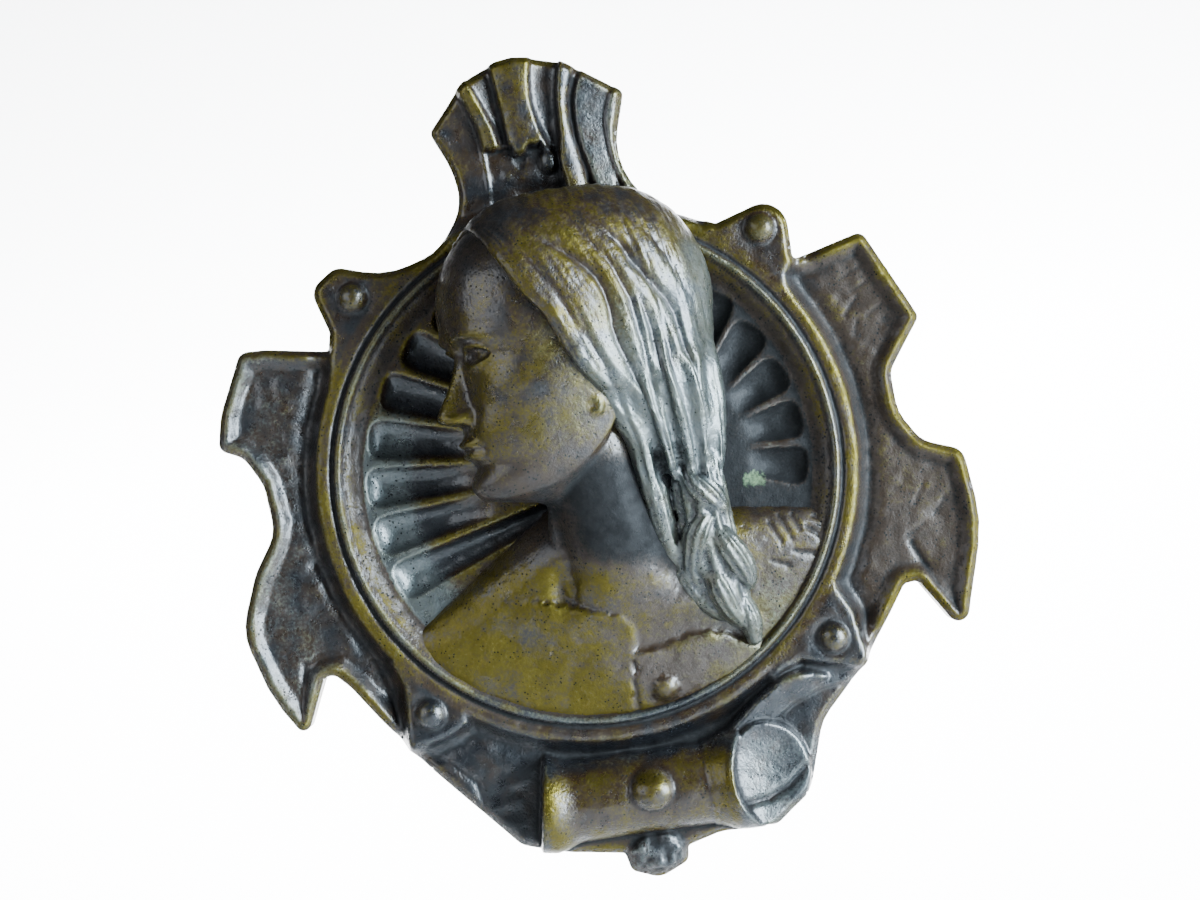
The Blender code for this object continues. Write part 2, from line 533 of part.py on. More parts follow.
def hair_radius(angle, level):
    """Distance of the combed hair from the head's axis; under the face it sinks out of sight."""
    radius = skull_radius(angle, level)
    across, up, _ = place_head(radius, angle, level)
    near = smooth(-0.6, 0.5, across - curve(up, HAIR_EDGE))
    far = smooth(0.84, 0.88, level - 0.0016 * np.clip(np.degrees(-angle), 0.0, 90.0))
    cover = np.where(np.sin(angle) > 0.0, near, far)
    back = 1.0 - smooth(-0.8, 0.2, np.cos(angle))
    parting = smooth(-19.0, -2.0, across + 0.5 * (48.0 - up))
    parting = parting * np.where(np.sin(angle) > 0.0, 1.0, 0.35 + 0.65 * back)
    near_side = smooth(-0.3, 0.3, np.sin(angle))
    thickness = HAIR_THICKNESS / HEAD_HEIGHT * (0.08 + 0.22 * near_side + 0.7 * parting + 0.55 * back)
    ends = smooth(0.12, 0.34, level)
    return np.maximum(radius * (0.6 + 0.4 * ends) + (thickness + 0.05) * cover * ends - 0.05, 0.02)


def hair_lift(angle, level):
    """How much higher the combed hair lies than the skull under it, least above the brow."""
    behind = smooth(-0.9, 0.5, -np.cos(angle))
    full = smooth(0.9, 1.0, level)
    return HAIR_THICKNESS / HEAD_HEIGHT * smooth(0.7, 1.0, level) * (0.1 + 0.6 * behind * (1.0 - full) + 0.6 * full)


# Lines combed into the hair: (depth, half width, points)
HAIR_GROOVES = (
    (1.5, 0.75, ((-4.5, 47.0), (-1.7, 44.6), (1.1, 42.7), (4.3, 40.0), (6.2, 37.6), (7.6, 35.8), (8.6, 33.0),
                 (9.0, 29.3), (9.0, 26.5), (9.5, 22.8), (10.5, 19.5), (11.4, 16.2), (11.8, 10.0), (12.6, 3.0),
                 (13.4, -4.0))),
    (1.7, 0.8, ((8.6, 47.3), (11.9, 43.0), (13.8, 40.7), (14.7, 38.4), (16.6, 35.6), (18.6, 32.4), (20.5, 29.5),
                (21.7, 26.8), (22.1, 23.0), (22.4, 19.2), (23.7, 16.3), (24.4, 13.5), (24.6, 6.0), (23.8, 0.0))),
    (0.9, 0.6, ((-2.0, 29.6), (-1.2, 26.6), (0.1, 23.6))),
    (1.3, 0.7, ((17.6, 29.0), (18.6, 22.0), (19.5, 15.3), (20.6, 8.6), (20.8, 2.0), (20.6, -4.0))),
    (1.2, 0.7, ((14.8, 33.0), (16.2, 24.4), (16.2, 14.4), (16.4, 7.7), (16.9, 0.0), (17.4, -5.0))),
    (0.6, 0.6, ((-9.6, 47.6), (-4.6, 41.0), (-0.4, 33.8), (2.6, 27.0), (5.6, 20.0), (7.4, 13.0), (8.9, 5.0),
                (10.2, -4.0))),
    (0.7, 0.7, ((2.6, 49.6), (7.0, 43.6), (11.0, 37.0), (13.2, 30.4), (14.0, 22.0), (14.2, 14.0), (14.8, 6.0),
                (15.4, -3.0))),
    (0.5, 0.6, ((14.6, 47.6), (19.6, 41.6), (23.0, 35.0), (25.0, 28.6), (25.6, 22.0))),
)


def combed(u, v):
    """Depth of the lines combed into the hair."""
    depth = np.zeros(np.shape(u))
    for deep, half_width, points in HAIR_GROOVES:
        distance, _ = line_distance(u, v, points)
        groove = 0.55 * bump(distance, half_width) + 0.45 * bump(distance, 3.2 * half_width)
        begun = smooth(0.0, 12.0, np.hypot(u - points[0][0], v - points[0][1]))
        depth = np.maximum(depth, 0.95 * deep * groove * (0.2 + 0.8 * begun))
    return depth


# The mass of hair at the nape and its locks: points (across, up, height) and half sizes (wide, thick)
NAPE = (((11.0, 46.0, 6.0), (13.6, 33.0, 10.0), (16.8, 20.0, 12.6), (19.2, 9.0, 13.5), (20.2, -1.0, 13.5),
         (20.2, -8.0, 13.5)),
        ((5.0, 5.0), (12.0, 13.0), (11.8, 15.0), (8.6, 12.0), (6.6, 8.4), (4.8, 6.0)))
LOCKS = (
    (((2.6, 27.0, 19.0), (6.8, 13.0, 22.4), (10.2, 4.0, 19.4), (10.8, -5.0, 17.0), (11.6, -14.0, 15.4),
      (13.4, -23.0, 13.4)),
     ((1.2, 2.6), (2.8, 3.4), (3.2, 4.0), (3.0, 3.8), (2.6, 3.2), (1.6, 2.4))),
    (((7.6, 32.0, 17.0), (12.2, 14.0, 24.0), (14.8, 4.0, 21.0), (15.6, -5.0, 18.0)),
     ((1.4, 2.8), (2.8, 3.4), (2.6, 3.4), (2.0, 2.8))),
    (((12.8, 36.0, 14.0), (17.4, 15.0, 24.4), (18.8, 4.0, 21.2), (19.2, -5.0, 17.4)),
     ((1.4, 2.8), (2.8, 3.4), (2.4, 3.2), (1.8, 2.8))),
    (((18.0, 38.0, 9.0), (22.4, 15.0, 21.6), (22.6, 4.0, 19.4), (21.6, -5.0, 16.4)),
     ((1.4, 2.8), (2.8, 3.8), (2.6, 3.6), (1.8, 3.0))),
    (((23.4, 36.0, 5.0), (26.2, 14.0, 15.0), (25.4, 3.0, 15.0), (23.4, -6.0, 14.5)),
     ((2.0, 3.4), (2.2, 4.6), (2.0, 4.2), (1.6, 3.4))),
)
# The braid's leaf-shaped turns from the top down, over a plain core
BRAID = (
    (((19.6, 2.0, 16.0), (19.8, -8.0, 15.6), (20.2, -18.0, 14.6), (21.8, -28.0, 12.4), (24.6, -37.0, 9.8)),
     ((4.8, 4.8), (5.0, 4.4), (5.0, 4.2), (4.2, 3.6), (1.8, 2.4))),
    (((13.2, -16.0, 13.5), (13.6, -22.0, 13.0), (16.4, -28.4, 11.8), (20.8, -34.0, 10.6)),
     ((1.2, 2.4), (2.0, 2.8), (2.0, 2.6), (1.1, 2.0))),
    (((24.0, -29.0, 12.4), (25.2, -33.8, 11.8), (25.4, -40.0, 10.0)), ((1.4, 2.2), (2.2, 2.6), (1.2, 1.8))),
    (((19.4, -23.0, 15.4), (20.6, -27.4, 14.8), (22.0, -31.6, 13.2), (24.4, -36.0, 11.4)),
     ((1.5, 2.2), (2.8, 3.0), (2.4, 2.8), (1.1, 1.8))),
    (((21.4, -14.4, 16.4), (23.0, -18.6, 16.8), (25.2, -23.4, 15.2), (26.8, -28.6, 12.8)),
     ((1.4, 2.4), (2.7, 3.2), (2.6, 3.0), (1.1, 2.0))),
    (((21.6, -11.4, 16.8), (18.6, -14.6, 17.2), (16.6, -19.4, 15.6), (16.0, -24.0, 13.6), (17.4, -28.0, 12.4)),
     ((1.5, 2.4), (2.8, 3.4), (2.8, 3.2), (2.2, 2.6), (1.0, 1.8))),
    (((17.4, -0.6, 17.4), (18.6, -4.8, 18.0), (21.6, -9.2, 17.6), (24.4, -13.0, 16.2)),
     ((1.5, 2.4), (2.9, 3.4), (2.8, 3.2), (1.1, 2.0))),
)

# The neck, as (across, up, height) and half sizes (wide, thick), and its two long muscles
NECK = (((1.0, 12.0, 14.0), (0.4, -4.0, 13.0), (1.6, -14.0, 12.0), (3.0, -24.0, 9.0), (4.4, -34.0, 4.0)),
        ((9.4, 8.6), (9.8, 9.2), (10.2, 9.6), (12.4, 9.4), (16.0, 8.0)))
NECK_MUSCLES = (
    (((4.0, 8.0, 12.0), (3.4, -3.0, 17.6), (-0.6, -14.0, 17.8), (-6.2, -26.0, 13.0)),
     ((4.4, 3.6), (4.2, 3.6), (3.0, 2.4))),
    (((-7.0, -4.0, 14.4), (-8.2, -14.0, 13.6), (-8.0, -25.0, 12.0)), ((2.8, 2.4), (2.8, 2.4), (2.0, 2.0))),
)
NAPE_SIDE = (((9.0, 14.0, 13.0), (9.6, 4.0, 12.0), (9.4, -8.0, 10.5), (10.0, -20.0, 8.0)),
             ((8.0, 9.0), (7.6, 8.0), (7.6, 7.6), (9.0, 6.0)))
EAR_LOBE = (2.7, 12.6, 25.4)
EAR_LOBE_HALF = (2.0, 2.6, 1.7)


def new_piece(name):
    piece = bpy.data.objects.new(name, bpy.data.meshes.new(name))
    bpy.context.scene.collection.objects.link(piece)
    return piece


def filled(bm, name):
    """Makes a piece of a finished bmesh, with its faces pointing out."""
    bmesh.ops.recalc_face_normals(bm, faces=bm.faces)
    piece = new_piece(name)
    bm.to_mesh(piece.data)
    bm.free()
    return piece


def place_verts(bm, across, up, height):
    """Moves every vertex of bm to its place on the upright plaque, in metres."""
    for vert, u, v, h in zip(bm.verts, across, up, height):
        vert.co = (u * METRES, -h * METRES, v * METRES)


def ball(name, radius_of, rows, columns, lift_of=None):
    """A closed shell round the head's axis, from a ball whose points radius_of moves out or in."""
    bm = bmesh.new()
    bmesh.ops.create_uvsphere(bm, u_segments=columns, v_segments=rows, radius=1.0)
    points = np.array([vert.co for vert in bm.verts])
    angle = np.arctan2(points[:, 1], points[:, 0])
    share = 0.5 + np.arcsin(np.clip(points[:, 2], -1.0, 1.0)) / math.pi
    pole = np.abs(points[:, 2]) > 0.99999
    level = -0.06 + 1.06 * share
    radius = np.where(pole, 0.0, radius_of(angle, level))
    lift = lift_of(angle, level) if lift_of else 0.0
    place_verts(bm, *place_head(radius, angle, level + lift))
    return filled(bm, name)


def egg(name, centre, radii):
    """A plain rounded lump."""
    bm = bmesh.new()
    bmesh.ops.create_uvsphere(bm, u_segments=24, v_segments=16, radius=1.0)
    points = np.array([vert.co for vert in bm.verts]) * np.array(radii) + np.array(centre)
    place_verts(bm, *points.T)
    return filled(bm, name)


def tube(name, centre, radii, sides):
    """A closed tube along points (across, up, height), with its half width across and half height at each."""
    rows = len(centre)
    bm = bmesh.new()
    bmesh.ops.create_grid(bm, x_segments=rows - 1, y_segments=sides, size=1.0)
    grid = np.array([vert.co for vert in bm.verts])
    row = np.round((grid[:, 0] + 1.0) / 2.0 * (rows - 1)).astype(int)
    turn = (grid[:, 1] + 1.0) * math.pi
    heading = np.gradient(centre, axis=0)[row]
    heading = heading / np.linalg.norm(heading[:, :2], axis=1, keepdims=True)
    middle = centre[row]
    wide, thick = radii[row, 0] * np.cos(turn), radii[row, 1] * np.sin(turn)
    place_verts(bm, middle[:, 0] - heading[:, 1] * wide, middle[:, 1] + heading[:, 0] * wide, middle[:, 2] + thick)
    bmesh.ops.remove_doubles(bm, verts=bm.verts, dist=1e-6)
    bmesh.ops.holes_fill(bm, edges=bm.edges, sides=0)
    return filled(bm, name)


def eased(count, radii):
    """Half widths along a tube that close softly at both ends."""
    t = np.linspace(0.0, 1.0, count)
    ends = np.sqrt(np.clip(np.minimum(t, 1.0 - t) * 12.0, 0.02, 1.0))
    stops = np.linspace(0.0, 1.0, len(radii))
    return np.stack([curve(t, list(zip(stops, column))) * ends for column in np.array(radii, float).T], axis=1)


def strand(name, shape, rows=24, sides=20):
    line, radii = shape
    return tube(name, path(line, rows), eased(rows, radii), sides)


def head_pieces():
    """The head, hair, neck and braid as closed shapes that overlap."""
    ball("head", head_radius, 90, 96)
    ball("hair", hair_radius, 72, 96, hair_lift)
    egg("ear_lobe", EAR_LOBE, EAR_LOBE_HALF)
    strand("neck", NECK, 24, 40)
    strand("nape", NAPE, 24, 40)
    strand("nape_side", NAPE_SIDE, 24, 40)
    for i, shape in enumerate(NECK_MUSCLES + LOCKS + BRAID):
        strand(f"strand_{i}", shape)


def plate_piece(spacing):
    """The cartouche: a grid cut to the outline, raised to its relief and closed by a flat back."""
    outline = rounded(stretched(CORNERS))
    low, high = outline.min(axis=0) - spacing, outline.max(axis=0) + spacing
    bm = bmesh.new()
    counts = np.ceil((high - low) / spacing).astype(int)
    bmesh.ops.create_grid(bm, x_segments=int(counts[0]), y_segments=int(counts[1]), size=0.5)
    flat = np.array([vert.co for vert in bm.verts])
    u, v = ((flat[:, :2] + 0.5) * (high - low) + low).T
    edge = inside_distance(u, v, outline)
    outside = [vert for vert, depth in zip(bm.verts, edge) if depth < -0.7 * spacing]
    keep = edge >= -0.7 * spacing
    bmesh.ops.delete(bm, geom=outside, context="VERTS")
    u, v, edge = u[keep], v[keep], edge[keep]
    u, v = snap_to_outline(u, v, edge, outline, spacing)
    edge = np.maximum(inside_distance(u, v, outline), 0.0)
    place_verts(bm, u, v, np.maximum(plate(u, v, edge), 1.5))
    loose = [vert for vert in bm.verts if not vert.link_faces]
    bmesh.ops.delete(bm, geom=loose, context="VERTS")
    rim = [e for e in bm.edges if e.is_boundary]
    walls = bmesh.ops.extrude_edge_only(bm, edges=rim)["geom"]
    for vert in walls:
        if isinstance(vert, bmesh.types.BMVert):
            vert.co.y = BACK_SPARE * METRES
    bmesh.ops.holes_fill(bm, edges=[e for e in bm.edges if e.is_boundary], sides=0)
    return filled(bm, "plate")


def snap_to_outline(u, v, edge, outline, spacing):
    """Moves the points that lie near or past the outline onto it."""
    near = np.abs(edge) < 0.7 * spacing
    best = np.full(near.sum(), np.inf)
    nu, nv = u[near], v[near]
    su, sv = nu.copy(), nv.copy()
    for (au, av), (bu, bv) in zip(outline, np.roll(outline, -1, axis=0)):
        du, dv = bu - au, bv - av
        t = np.clip(((nu - au) * du + (nv - av) * dv) / max(du * du + dv * dv, 1e-12), 0.0, 1.0)
        pu, pv = au + t * du, av + t * dv
        distance = np.hypot(nu - pu, nv - pv)
        nearer = distance < best
        best = np.where(nearer, distance, best)
        su, sv = np.where(nearer, pu, su), np.where(nearer, pv, sv)
    u, v = u.copy(), v.copy()
    u[near], v[near] = su, sv
    return u, v


def shaped(piece, kind, **settings):
    """Gives a piece one modifier and carries it out."""
    modifier = piece.modifiers.new(kind.title(), kind)
    for key, value in settings.items():
        setattr(modifier, key, value)
    bpy.context.view_layer.update()
    mesh = bpy.data.meshes.new_from_object(piece.evaluated_get(bpy.context.evaluated_depsgraph_get()))
    piece.modifiers.clear()
    piece.data = mesh


def melt(pieces, name):
    """One closed skin round all the pieces, thinned, with everything behind the back cut away flat."""
    bm = bmesh.new()
    for piece in pieces:
        bm.from_mesh(piece.data)
    block = new_piece(name)
    bm.to_mesh(block.data)
    bm.free()
    for piece in pieces:
        bpy.data.objects.remove(piece)
    shaped(block, "REMESH", mode="VOXEL", voxel_size=MELT_SIZE * METRES)
    keep_outer_skin(block)
    comb_hair(block)
    shaped(block, "SMOOTH", factor=0.5, iterations=1)
    shaped(block, "TRIANGULATE")
    shaped(block, "DECIMATE", ratio=min(1.0, TRIANGLES / len(block.data.polygons)))
    cut_back(block)
    return block


def comb_hair(block):
    """Sinks the lines combed into the hair."""
    mesh = block.data
    points, normals = np.empty(len(mesh.vertices) * 3), np.empty(len(mesh.vertices) * 3)
    mesh.vertices.foreach_get("co", points)
    mesh.vertices.foreach_get("normal", normals)
    points, normals = points.reshape(-1, 3), normals.reshape(-1, 3)
    u, v, height = points[:, 0] / METRES, points[:, 2] / METRES, -points[:, 1] / METRES
    on_hair = smooth(0.0, 2.0, u - curve(v, HAIR_EDGE)) * smooth(3.0, 9.0, v) * smooth(12.0, 16.0, height)
    points -= normals * (combed(u, v) * on_hair)[:, None] * METRES
    mesh.vertices.foreach_set("co", points.ravel())
    mesh.update()


def keep_outer_skin(block):
    """Fills the hollows that the overlapping pieces shut in, by removing every skin but the outer one."""
    bm = bmesh.new()
    bm.from_mesh(block.data)
    bm.verts.ensure_lookup_table()
    skins = []
    seen = set()
    for start in bm.verts:
        if start.index in seen:
            continue
        skin, queue = [], [start]
        seen.add(start.index)
        while queue:
            vert = queue.pop()
            skin.append(vert)
            for edge in vert.link_edges:
                other = edge.other_vert(vert)
                if other.index not in seen:
                    seen.add(other.index)
                    queue.append(other)
        skins.append(skin)
    outer = max(skins, key=len)
    for skin in skins:
        if skin is not outer:
            bmesh.ops.delete(bm, geom=skin, context="VERTS")
    bm.to_mesh(block.data)
    bm.free()


def cut_back(block):
    """Cuts a piece off at the flat back and closes it there."""
    bm = bmesh.new()
    bm.from_mesh(block.data)
    everything = list(bm.verts) + list(bm.edges) + list(bm.faces)
    bmesh.ops.bisect_plane(bm, geom=everything, dist=1e-6, plane_co=(0.0, 0.0, 0.0), plane_no=(0.0, 1.0, 0.0),
                           clear_outer=True)
    for vert in bm.verts:
        if vert.is_boundary:
            vert.co.y = 0.0
    bmesh.ops.remove_doubles(bm, verts=[v for v in bm.verts if v.is_boundary], dist=0.0001)
    back = bmesh.ops.holes_fill(bm, edges=[e for e in bm.edges if e.is_boundary], sides=0)["faces"]
    bmesh.ops.triangulate(bm, faces=back)
    bmesh.ops.triangulate(bm, faces=[face for face in bm.faces if len(face.verts) > 3])
    bmesh.ops.recalc_face_normals(bm, faces=bm.faces)
    bm.to_mesh(block.data)
    bm.free()


def bronze():
    """Cast bronze with a dark olive-brown patina."""
    material = bpy.data.materials.new("patinated_bronze")
    material.use_nodes = True
    shader = material.node_tree.nodes["Principled BSDF"]
    shader.inputs["Base Color"].default_value = (0.09, 0.07, 0.045, 1.0)
    shader.inputs["Metallic"].default_value = 0.9
    shader.inputs["Roughness"].default_value = 0.36
    return material


def main():
    for piece in list(bpy.data.objects):
        bpy.data.objects.remove(piece)
    plate_piece(GRID_SIZE)
    head_pieces()
    plaque = melt(list(bpy.data.objects), "relief_plaque")
    plaque.data.materials.clear()
    plaque.data.materials.append(bronze())


main()
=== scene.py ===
"""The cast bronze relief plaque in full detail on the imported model's frame, with its stage, lights and camera.

Lengths are in millimetres and become metres when a mesh is made. Across is u, up is v, and height is the
distance in front of the flat back: u runs along +X, v along +Z and height along -Y.
"""

import math
from functools import partial

import bmesh
import bpy
import numpy as np
from mathutils import Matrix, Vector


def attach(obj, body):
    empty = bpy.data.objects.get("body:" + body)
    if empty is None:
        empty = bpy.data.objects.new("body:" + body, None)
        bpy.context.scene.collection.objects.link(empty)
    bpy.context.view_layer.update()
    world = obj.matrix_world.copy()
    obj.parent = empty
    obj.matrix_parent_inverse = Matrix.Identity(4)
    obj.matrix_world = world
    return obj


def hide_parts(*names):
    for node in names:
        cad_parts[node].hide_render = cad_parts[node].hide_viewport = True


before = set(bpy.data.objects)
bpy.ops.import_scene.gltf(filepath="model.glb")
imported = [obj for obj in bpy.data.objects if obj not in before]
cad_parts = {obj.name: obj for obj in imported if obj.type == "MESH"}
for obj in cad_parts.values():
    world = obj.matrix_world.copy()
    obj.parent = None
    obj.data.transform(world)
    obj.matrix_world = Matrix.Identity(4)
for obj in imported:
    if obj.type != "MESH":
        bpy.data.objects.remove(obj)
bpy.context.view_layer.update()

METRES = 0.001

# How fine each surface is
SIDES_IN = 0.998
PLATE_GRID = 0.43
CHEST_GRID = 0.7
BUST_GRAIN = 0.41
HAIR_GRAIN = 0.38
SUNK_BACK = 1.2

# The plate
WING_LEVEL = 4.5
EDGE_DROP = 1.2
EDGE_ROUND = 1.4
RIM_RISE = 1.7
RIM_INSIDE = (1.3, 4.2)
STRAP_LEVEL = 8.2
STRAP_COVE = 3.2

# The medallion
MEDALLION = (-1.2, 0)
BEAD_RADIUS = 49.7
BEAD_HALF_WIDTH = 0.9
BEAD_RISE = 1.0
STRAP_RADIUS = 54.0
DISH_RADIUS = 45.0
DISH_LEVEL = 6.2

# The fluted shell behind the head: the flutes' ends are evenly spaced round the dish, in degrees
FLUTE_FOCUS = (14, 0.5)
FLUTE_COUNT = 17
FLUTE_FIRST = 200.5
FLUTE_STEP = -13.1
FLUTE_HALF = 4.25
FLUTE_DEPTH = 2.3
FLUTE_FADE = (0.55, 0.78)
FIRST_FADE = (0.15, 0.5)
FLUTE_REACH = 44.3

# Rivets, each (across, up)
RIVETS = ((-41, 42.4), (41.4, 41.4), (-40.6, -42), (41.2, -41.4))
RIVET_RADIUS = 3.1
RIVET_RISE = 2.3

# The fan at the top
FAN_BASE = 52.0
FAN_CURL = 1.8
FAN_BREAK = 65.8
FAN_HALF = 21.0

# The roll at the bottom, a little lower on the right, which flares at both ends
ROLL_AXIS = -65.2
ROLL_SLOPE = -0.04
ROLL_RADIUS = 8.3
ROLL_LEVEL = 5.4
FLARE = 1.8
FLARE_LEFT = (-14.6, -21)
FLARE_RIGHT = (11.4, 17.5)
ROLL_RIVET = (0.2, -63.8)
ROLL_RIVET_RADIUS = 4.2
SWAG_LEVEL = 5.8
FOOT = (-1.2, -77.4)
FOOT_RADII = (6.4, 4.6)
FOOT_LEVEL = 8.0

# The bust below the neck
SHOULDER_LEFT = ((-42.5, -26.6), (-12, -7.4))
SHOULDER_RIGHT = ((10, -9.4), (48, -15.6))
SHOULDER_ROUND = 9.0
SHOULDER_EDGE = 4.6
CHEST_EDGE = 7.6
CHEST_RISE = 7.0
NECK_ROOT_RISE = 4.5
KNOT = (6.4, -45.2)
KNOT_RADIUS = 2.6
COLLAR_BONE_HALF = 2.6

# The green spot in a flute
VERDIGRIS = (31, -7.4)

# The head
HEAD_HEIGHT = 56.0
HEAD_YAW = 20.0
HEAD_AXIS = (-0.6, 13)
CHIN_LEVEL = -2.6
RELIEF_SQUEEZE = 0.9
HAIR_THICKNESS = 2.9

# Where the photograph was taken from
LEAN = 10.4
CAMERA_DISTANCE = 400.0
CAMERA_AIM = (2.1, 3.7)
FIELD_WIDTH = 240.0
FIELD_HEIGHT_ABOVE_BACK = 6.0
SENSOR_WIDTH = 36.0


def smooth(low, high, x):
    """A soft step from 0 at low to 1 at high."""
    t = np.clip((x - low) / (high - low), 0.0, 1.0)
    return t * t * (3.0 - 2.0 * t)


def fade(low, high, x):
    """A soft step from 1 at low to 0 at high."""
    return 1.0 - smooth(low, high, x)


def bump(distance, width):
    """A soft hill of height 1."""
    return np.exp(-((distance / width) ** 2))


def crown(distance, half_width):
    """A round ridge of height 1 at the middle and 0 at its sides."""
    return np.sqrt(np.clip(1.0 - (distance / half_width) ** 2, 0.0, 1.0))


def oval(u, v, centre, radii):
    """How far out a point lies in an oval, 1 at its edge."""
    return np.hypot((u - centre[0]) / radii[0], (v - centre[1]) / radii[1])


def soft_max(a, b, blend):
    """The larger of two heights, with a fillet where they meet."""
    mix = np.clip(0.5 + 0.5 * (a - b) / blend, 0.0, 1.0)
    return b * (1.0 - mix) + a * mix + blend * mix * (1.0 - mix)


def curve(x, knots):
    """A smooth line through (x, y) knots that rise in x, held level past both ends."""
    xs, ys = np.array(knots, float).T
    slopes = np.gradient(ys, xs)
    x = np.clip(x, xs[0], xs[-1])
    i = np.clip(np.searchsorted(xs, x) - 1, 0, len(xs) - 2)
    step = xs[i + 1] - xs[i]
    t = (x - xs[i]) / step
    rise = 3.0 * t * t - 2.0 * t ** 3
    start = (t ** 3 - 2.0 * t * t + t) * step * slopes[i]
    end = (t ** 3 - t * t) * step * slopes[i + 1]
    return ys[i] * (1.0 - rise) + ys[i + 1] * rise + start + end


def path(knots, count):
    """count points along a smooth path through knots of any dimension."""
    knots = np.array(knots, float)
    steps = np.linalg.norm(np.diff(knots, axis=0), axis=1)
    along = np.concatenate([[0.0], np.cumsum(steps)])
    t = np.linspace(0.0, along[-1], count)
    return np.stack([curve(t, list(zip(along, column))) for column in knots.T], axis=1)


def stretches(u, v, points):
    """Each straight stretch of a line: its ends, how far along it the nearest point lies, and the distance to it."""
    for start, end in zip(points[:-1], points[1:]):
        du, dv = end[0] - start[0], end[1] - start[1]
        t = np.clip(((u - start[0]) * du + (v - start[1]) * dv) / max(du * du + dv * dv, 1e-12), 0.0, 1.0)
        yield start, end, t, np.hypot(u - start[0] - t * du, v - start[1] - t * dv)


def line_distance(u, v, points):
    """Distance to a line through points, and 1 on the right of the way it runs or -1 on the left."""
    best = np.full(np.shape(u), np.inf)
    side = np.ones(np.shape(u))
    for (au, av), (bu, bv), _, distance in stretches(u, v, points):
        nearer = distance < best
        best = np.where(nearer, distance, best)
        side = np.where(nearer, np.sign((u - au) * (bv - av) - (v - av) * (bu - au)), side)
    return best, side


def line_bump(u, v, points, width):
    """A soft ridge of height 1 along a line through points."""
    return bump(line_distance(u, v, points)[0], width)


def inside_distance(u, v, polygon):
    """Distance to a closed outline, positive inside it."""
    best = np.full(np.shape(u), np.inf)
    inside = np.zeros(np.shape(u), bool)
    for (au, av), (bu, bv), _, distance in stretches(u, v, [*polygon, polygon[0]]):
        best = np.minimum(best, distance)
        if bv != av:
            inside ^= ((av > v) != (bv > v)) & (u < au + (bu - au) * (v - av) / (bv - av))
    return np.where(inside, best, -best)


def nearest_on(u, v, outline):
    """The nearest point of a closed outline to each (u, v)."""
    best = np.full(len(u), np.inf)
    for (au, av), (bu, bv), t, distance in stretches(u, v, [*outline, outline[0]]):
        nearer = distance < best
        best[nearer] = distance[nearer]
        u, v = np.where(nearer, au + t * (bu - au), u), np.where(nearer, av + t * (bv - av), v)
    return u, v


def lumps(u, v, size, seed, height=0.0):
    """Smooth random relief from -1 to 1 with lumps of about size."""
    grid = np.stack(np.broadcast_arrays(u, v, height), axis=1) / size + 31.7 * seed + 1000.0
    base = np.floor(grid).astype(np.int64)
    t = grid - base
    t = t * t * (3.0 - 2.0 * t)
    total = np.zeros(len(grid))
    for corner in range(8):
        offset = np.array([(corner >> axis) & 1 for axis in range(3)])
        cell = base + offset
        mixed = (cell[:, 0] * 73856093) ^ (cell[:, 1] * 19349663) ^ (cell[:, 2] * 83492791)
        mixed = ((mixed & 0x7FFFFFFF) * 1103515245 + 12345) & 0x7FFFFFFF
        mixed = ((mixed ^ (mixed >> 15)) * 69069 + 1) & 0x7FFFFFFF
        total += (mixed / 0x3FFFFFFF - 1.0) * np.prod(np.where(offset, t, 1.0 - t), axis=1)
    return total


# Corners of the plaque's outline, clockwise from the fan, each (across, up, corner radius)
FAN_RIGHT = ((-3, 84.4, 18), (8.3, 81.4, 16), (19.6, 73.4, 1.2), (15.3, 61, 15), (20.5, 50.2, 16))
EAR_RIGHT = ((33, 44.1, 0.8), (47.3, 47.9, 5.5), (46.9, 34.3, 0.8))
WING_RIGHT = ((61.7, 37.5, 2), (69.9, 18.6, 1.6), (62.3, 8.8, 4), (62.3, 0.5, 8), (66, -6, 6),
              (73.8, -9.2, 3.5), (75, -24, 25), (67.7, -46.2, 2.2), (60.3, -33.6, 1.6), (57.4, -33.7, 1.6))
SWAG_RIGHT = ((46.8, -48, 12), (36.4, -57.6, 9), (31.6, -70.8, 6), (22, -76.9, 8), (12.5, -76, 6))
FOOT_EDGE = ((5.3, -77.6, 0.8), (4.8, -80.6, 2), (-1.4, -83, 4), (-6.8, -80.6, 2), (-7.5, -76.9, 0.8))
SWAG_LEFT = ((-19, -74.6, 20), (-27.6, -71.6, 5), (-46, -49.2, 30), (-55.5, -34.5, 8))
WING_LEFT = ((-59.8, -29.6, 2), (-66.2, -42.8, 1.6), (-71.5, -34, 20), (-75.3, -19.5, 12),
             (-70.5, -8.5, 8), (-65.2, -1, 8), (-65.6, 9, 8), (-68.6, 15, 5), (-73.3, 17.4, 2),
             (-71.5, 24.5, 10), (-65.6, 36, 2.5), (-60.5, 35.6, 6), (-47.8, 33, 0.8))
EAR_LEFT = ((-46.8, 36.5, 2), (-49.2, 45.6, 3.5), (-43.4, 49.2, 3.5), (-33.5, 45.6, 20), (-22.5, 48.6, 9))
FAN_LEFT = ((-16.2, 57.5, 12), (-17.2, 65, 12), (-20.1, 72.3, 1.6), (-12.2, 80.6, 12))
CORNERS = FAN_RIGHT + EAR_RIGHT + WING_RIGHT + SWAG_RIGHT + FOOT_EDGE + SWAG_LEFT + WING_LEFT + EAR_LEFT + FAN_LEFT

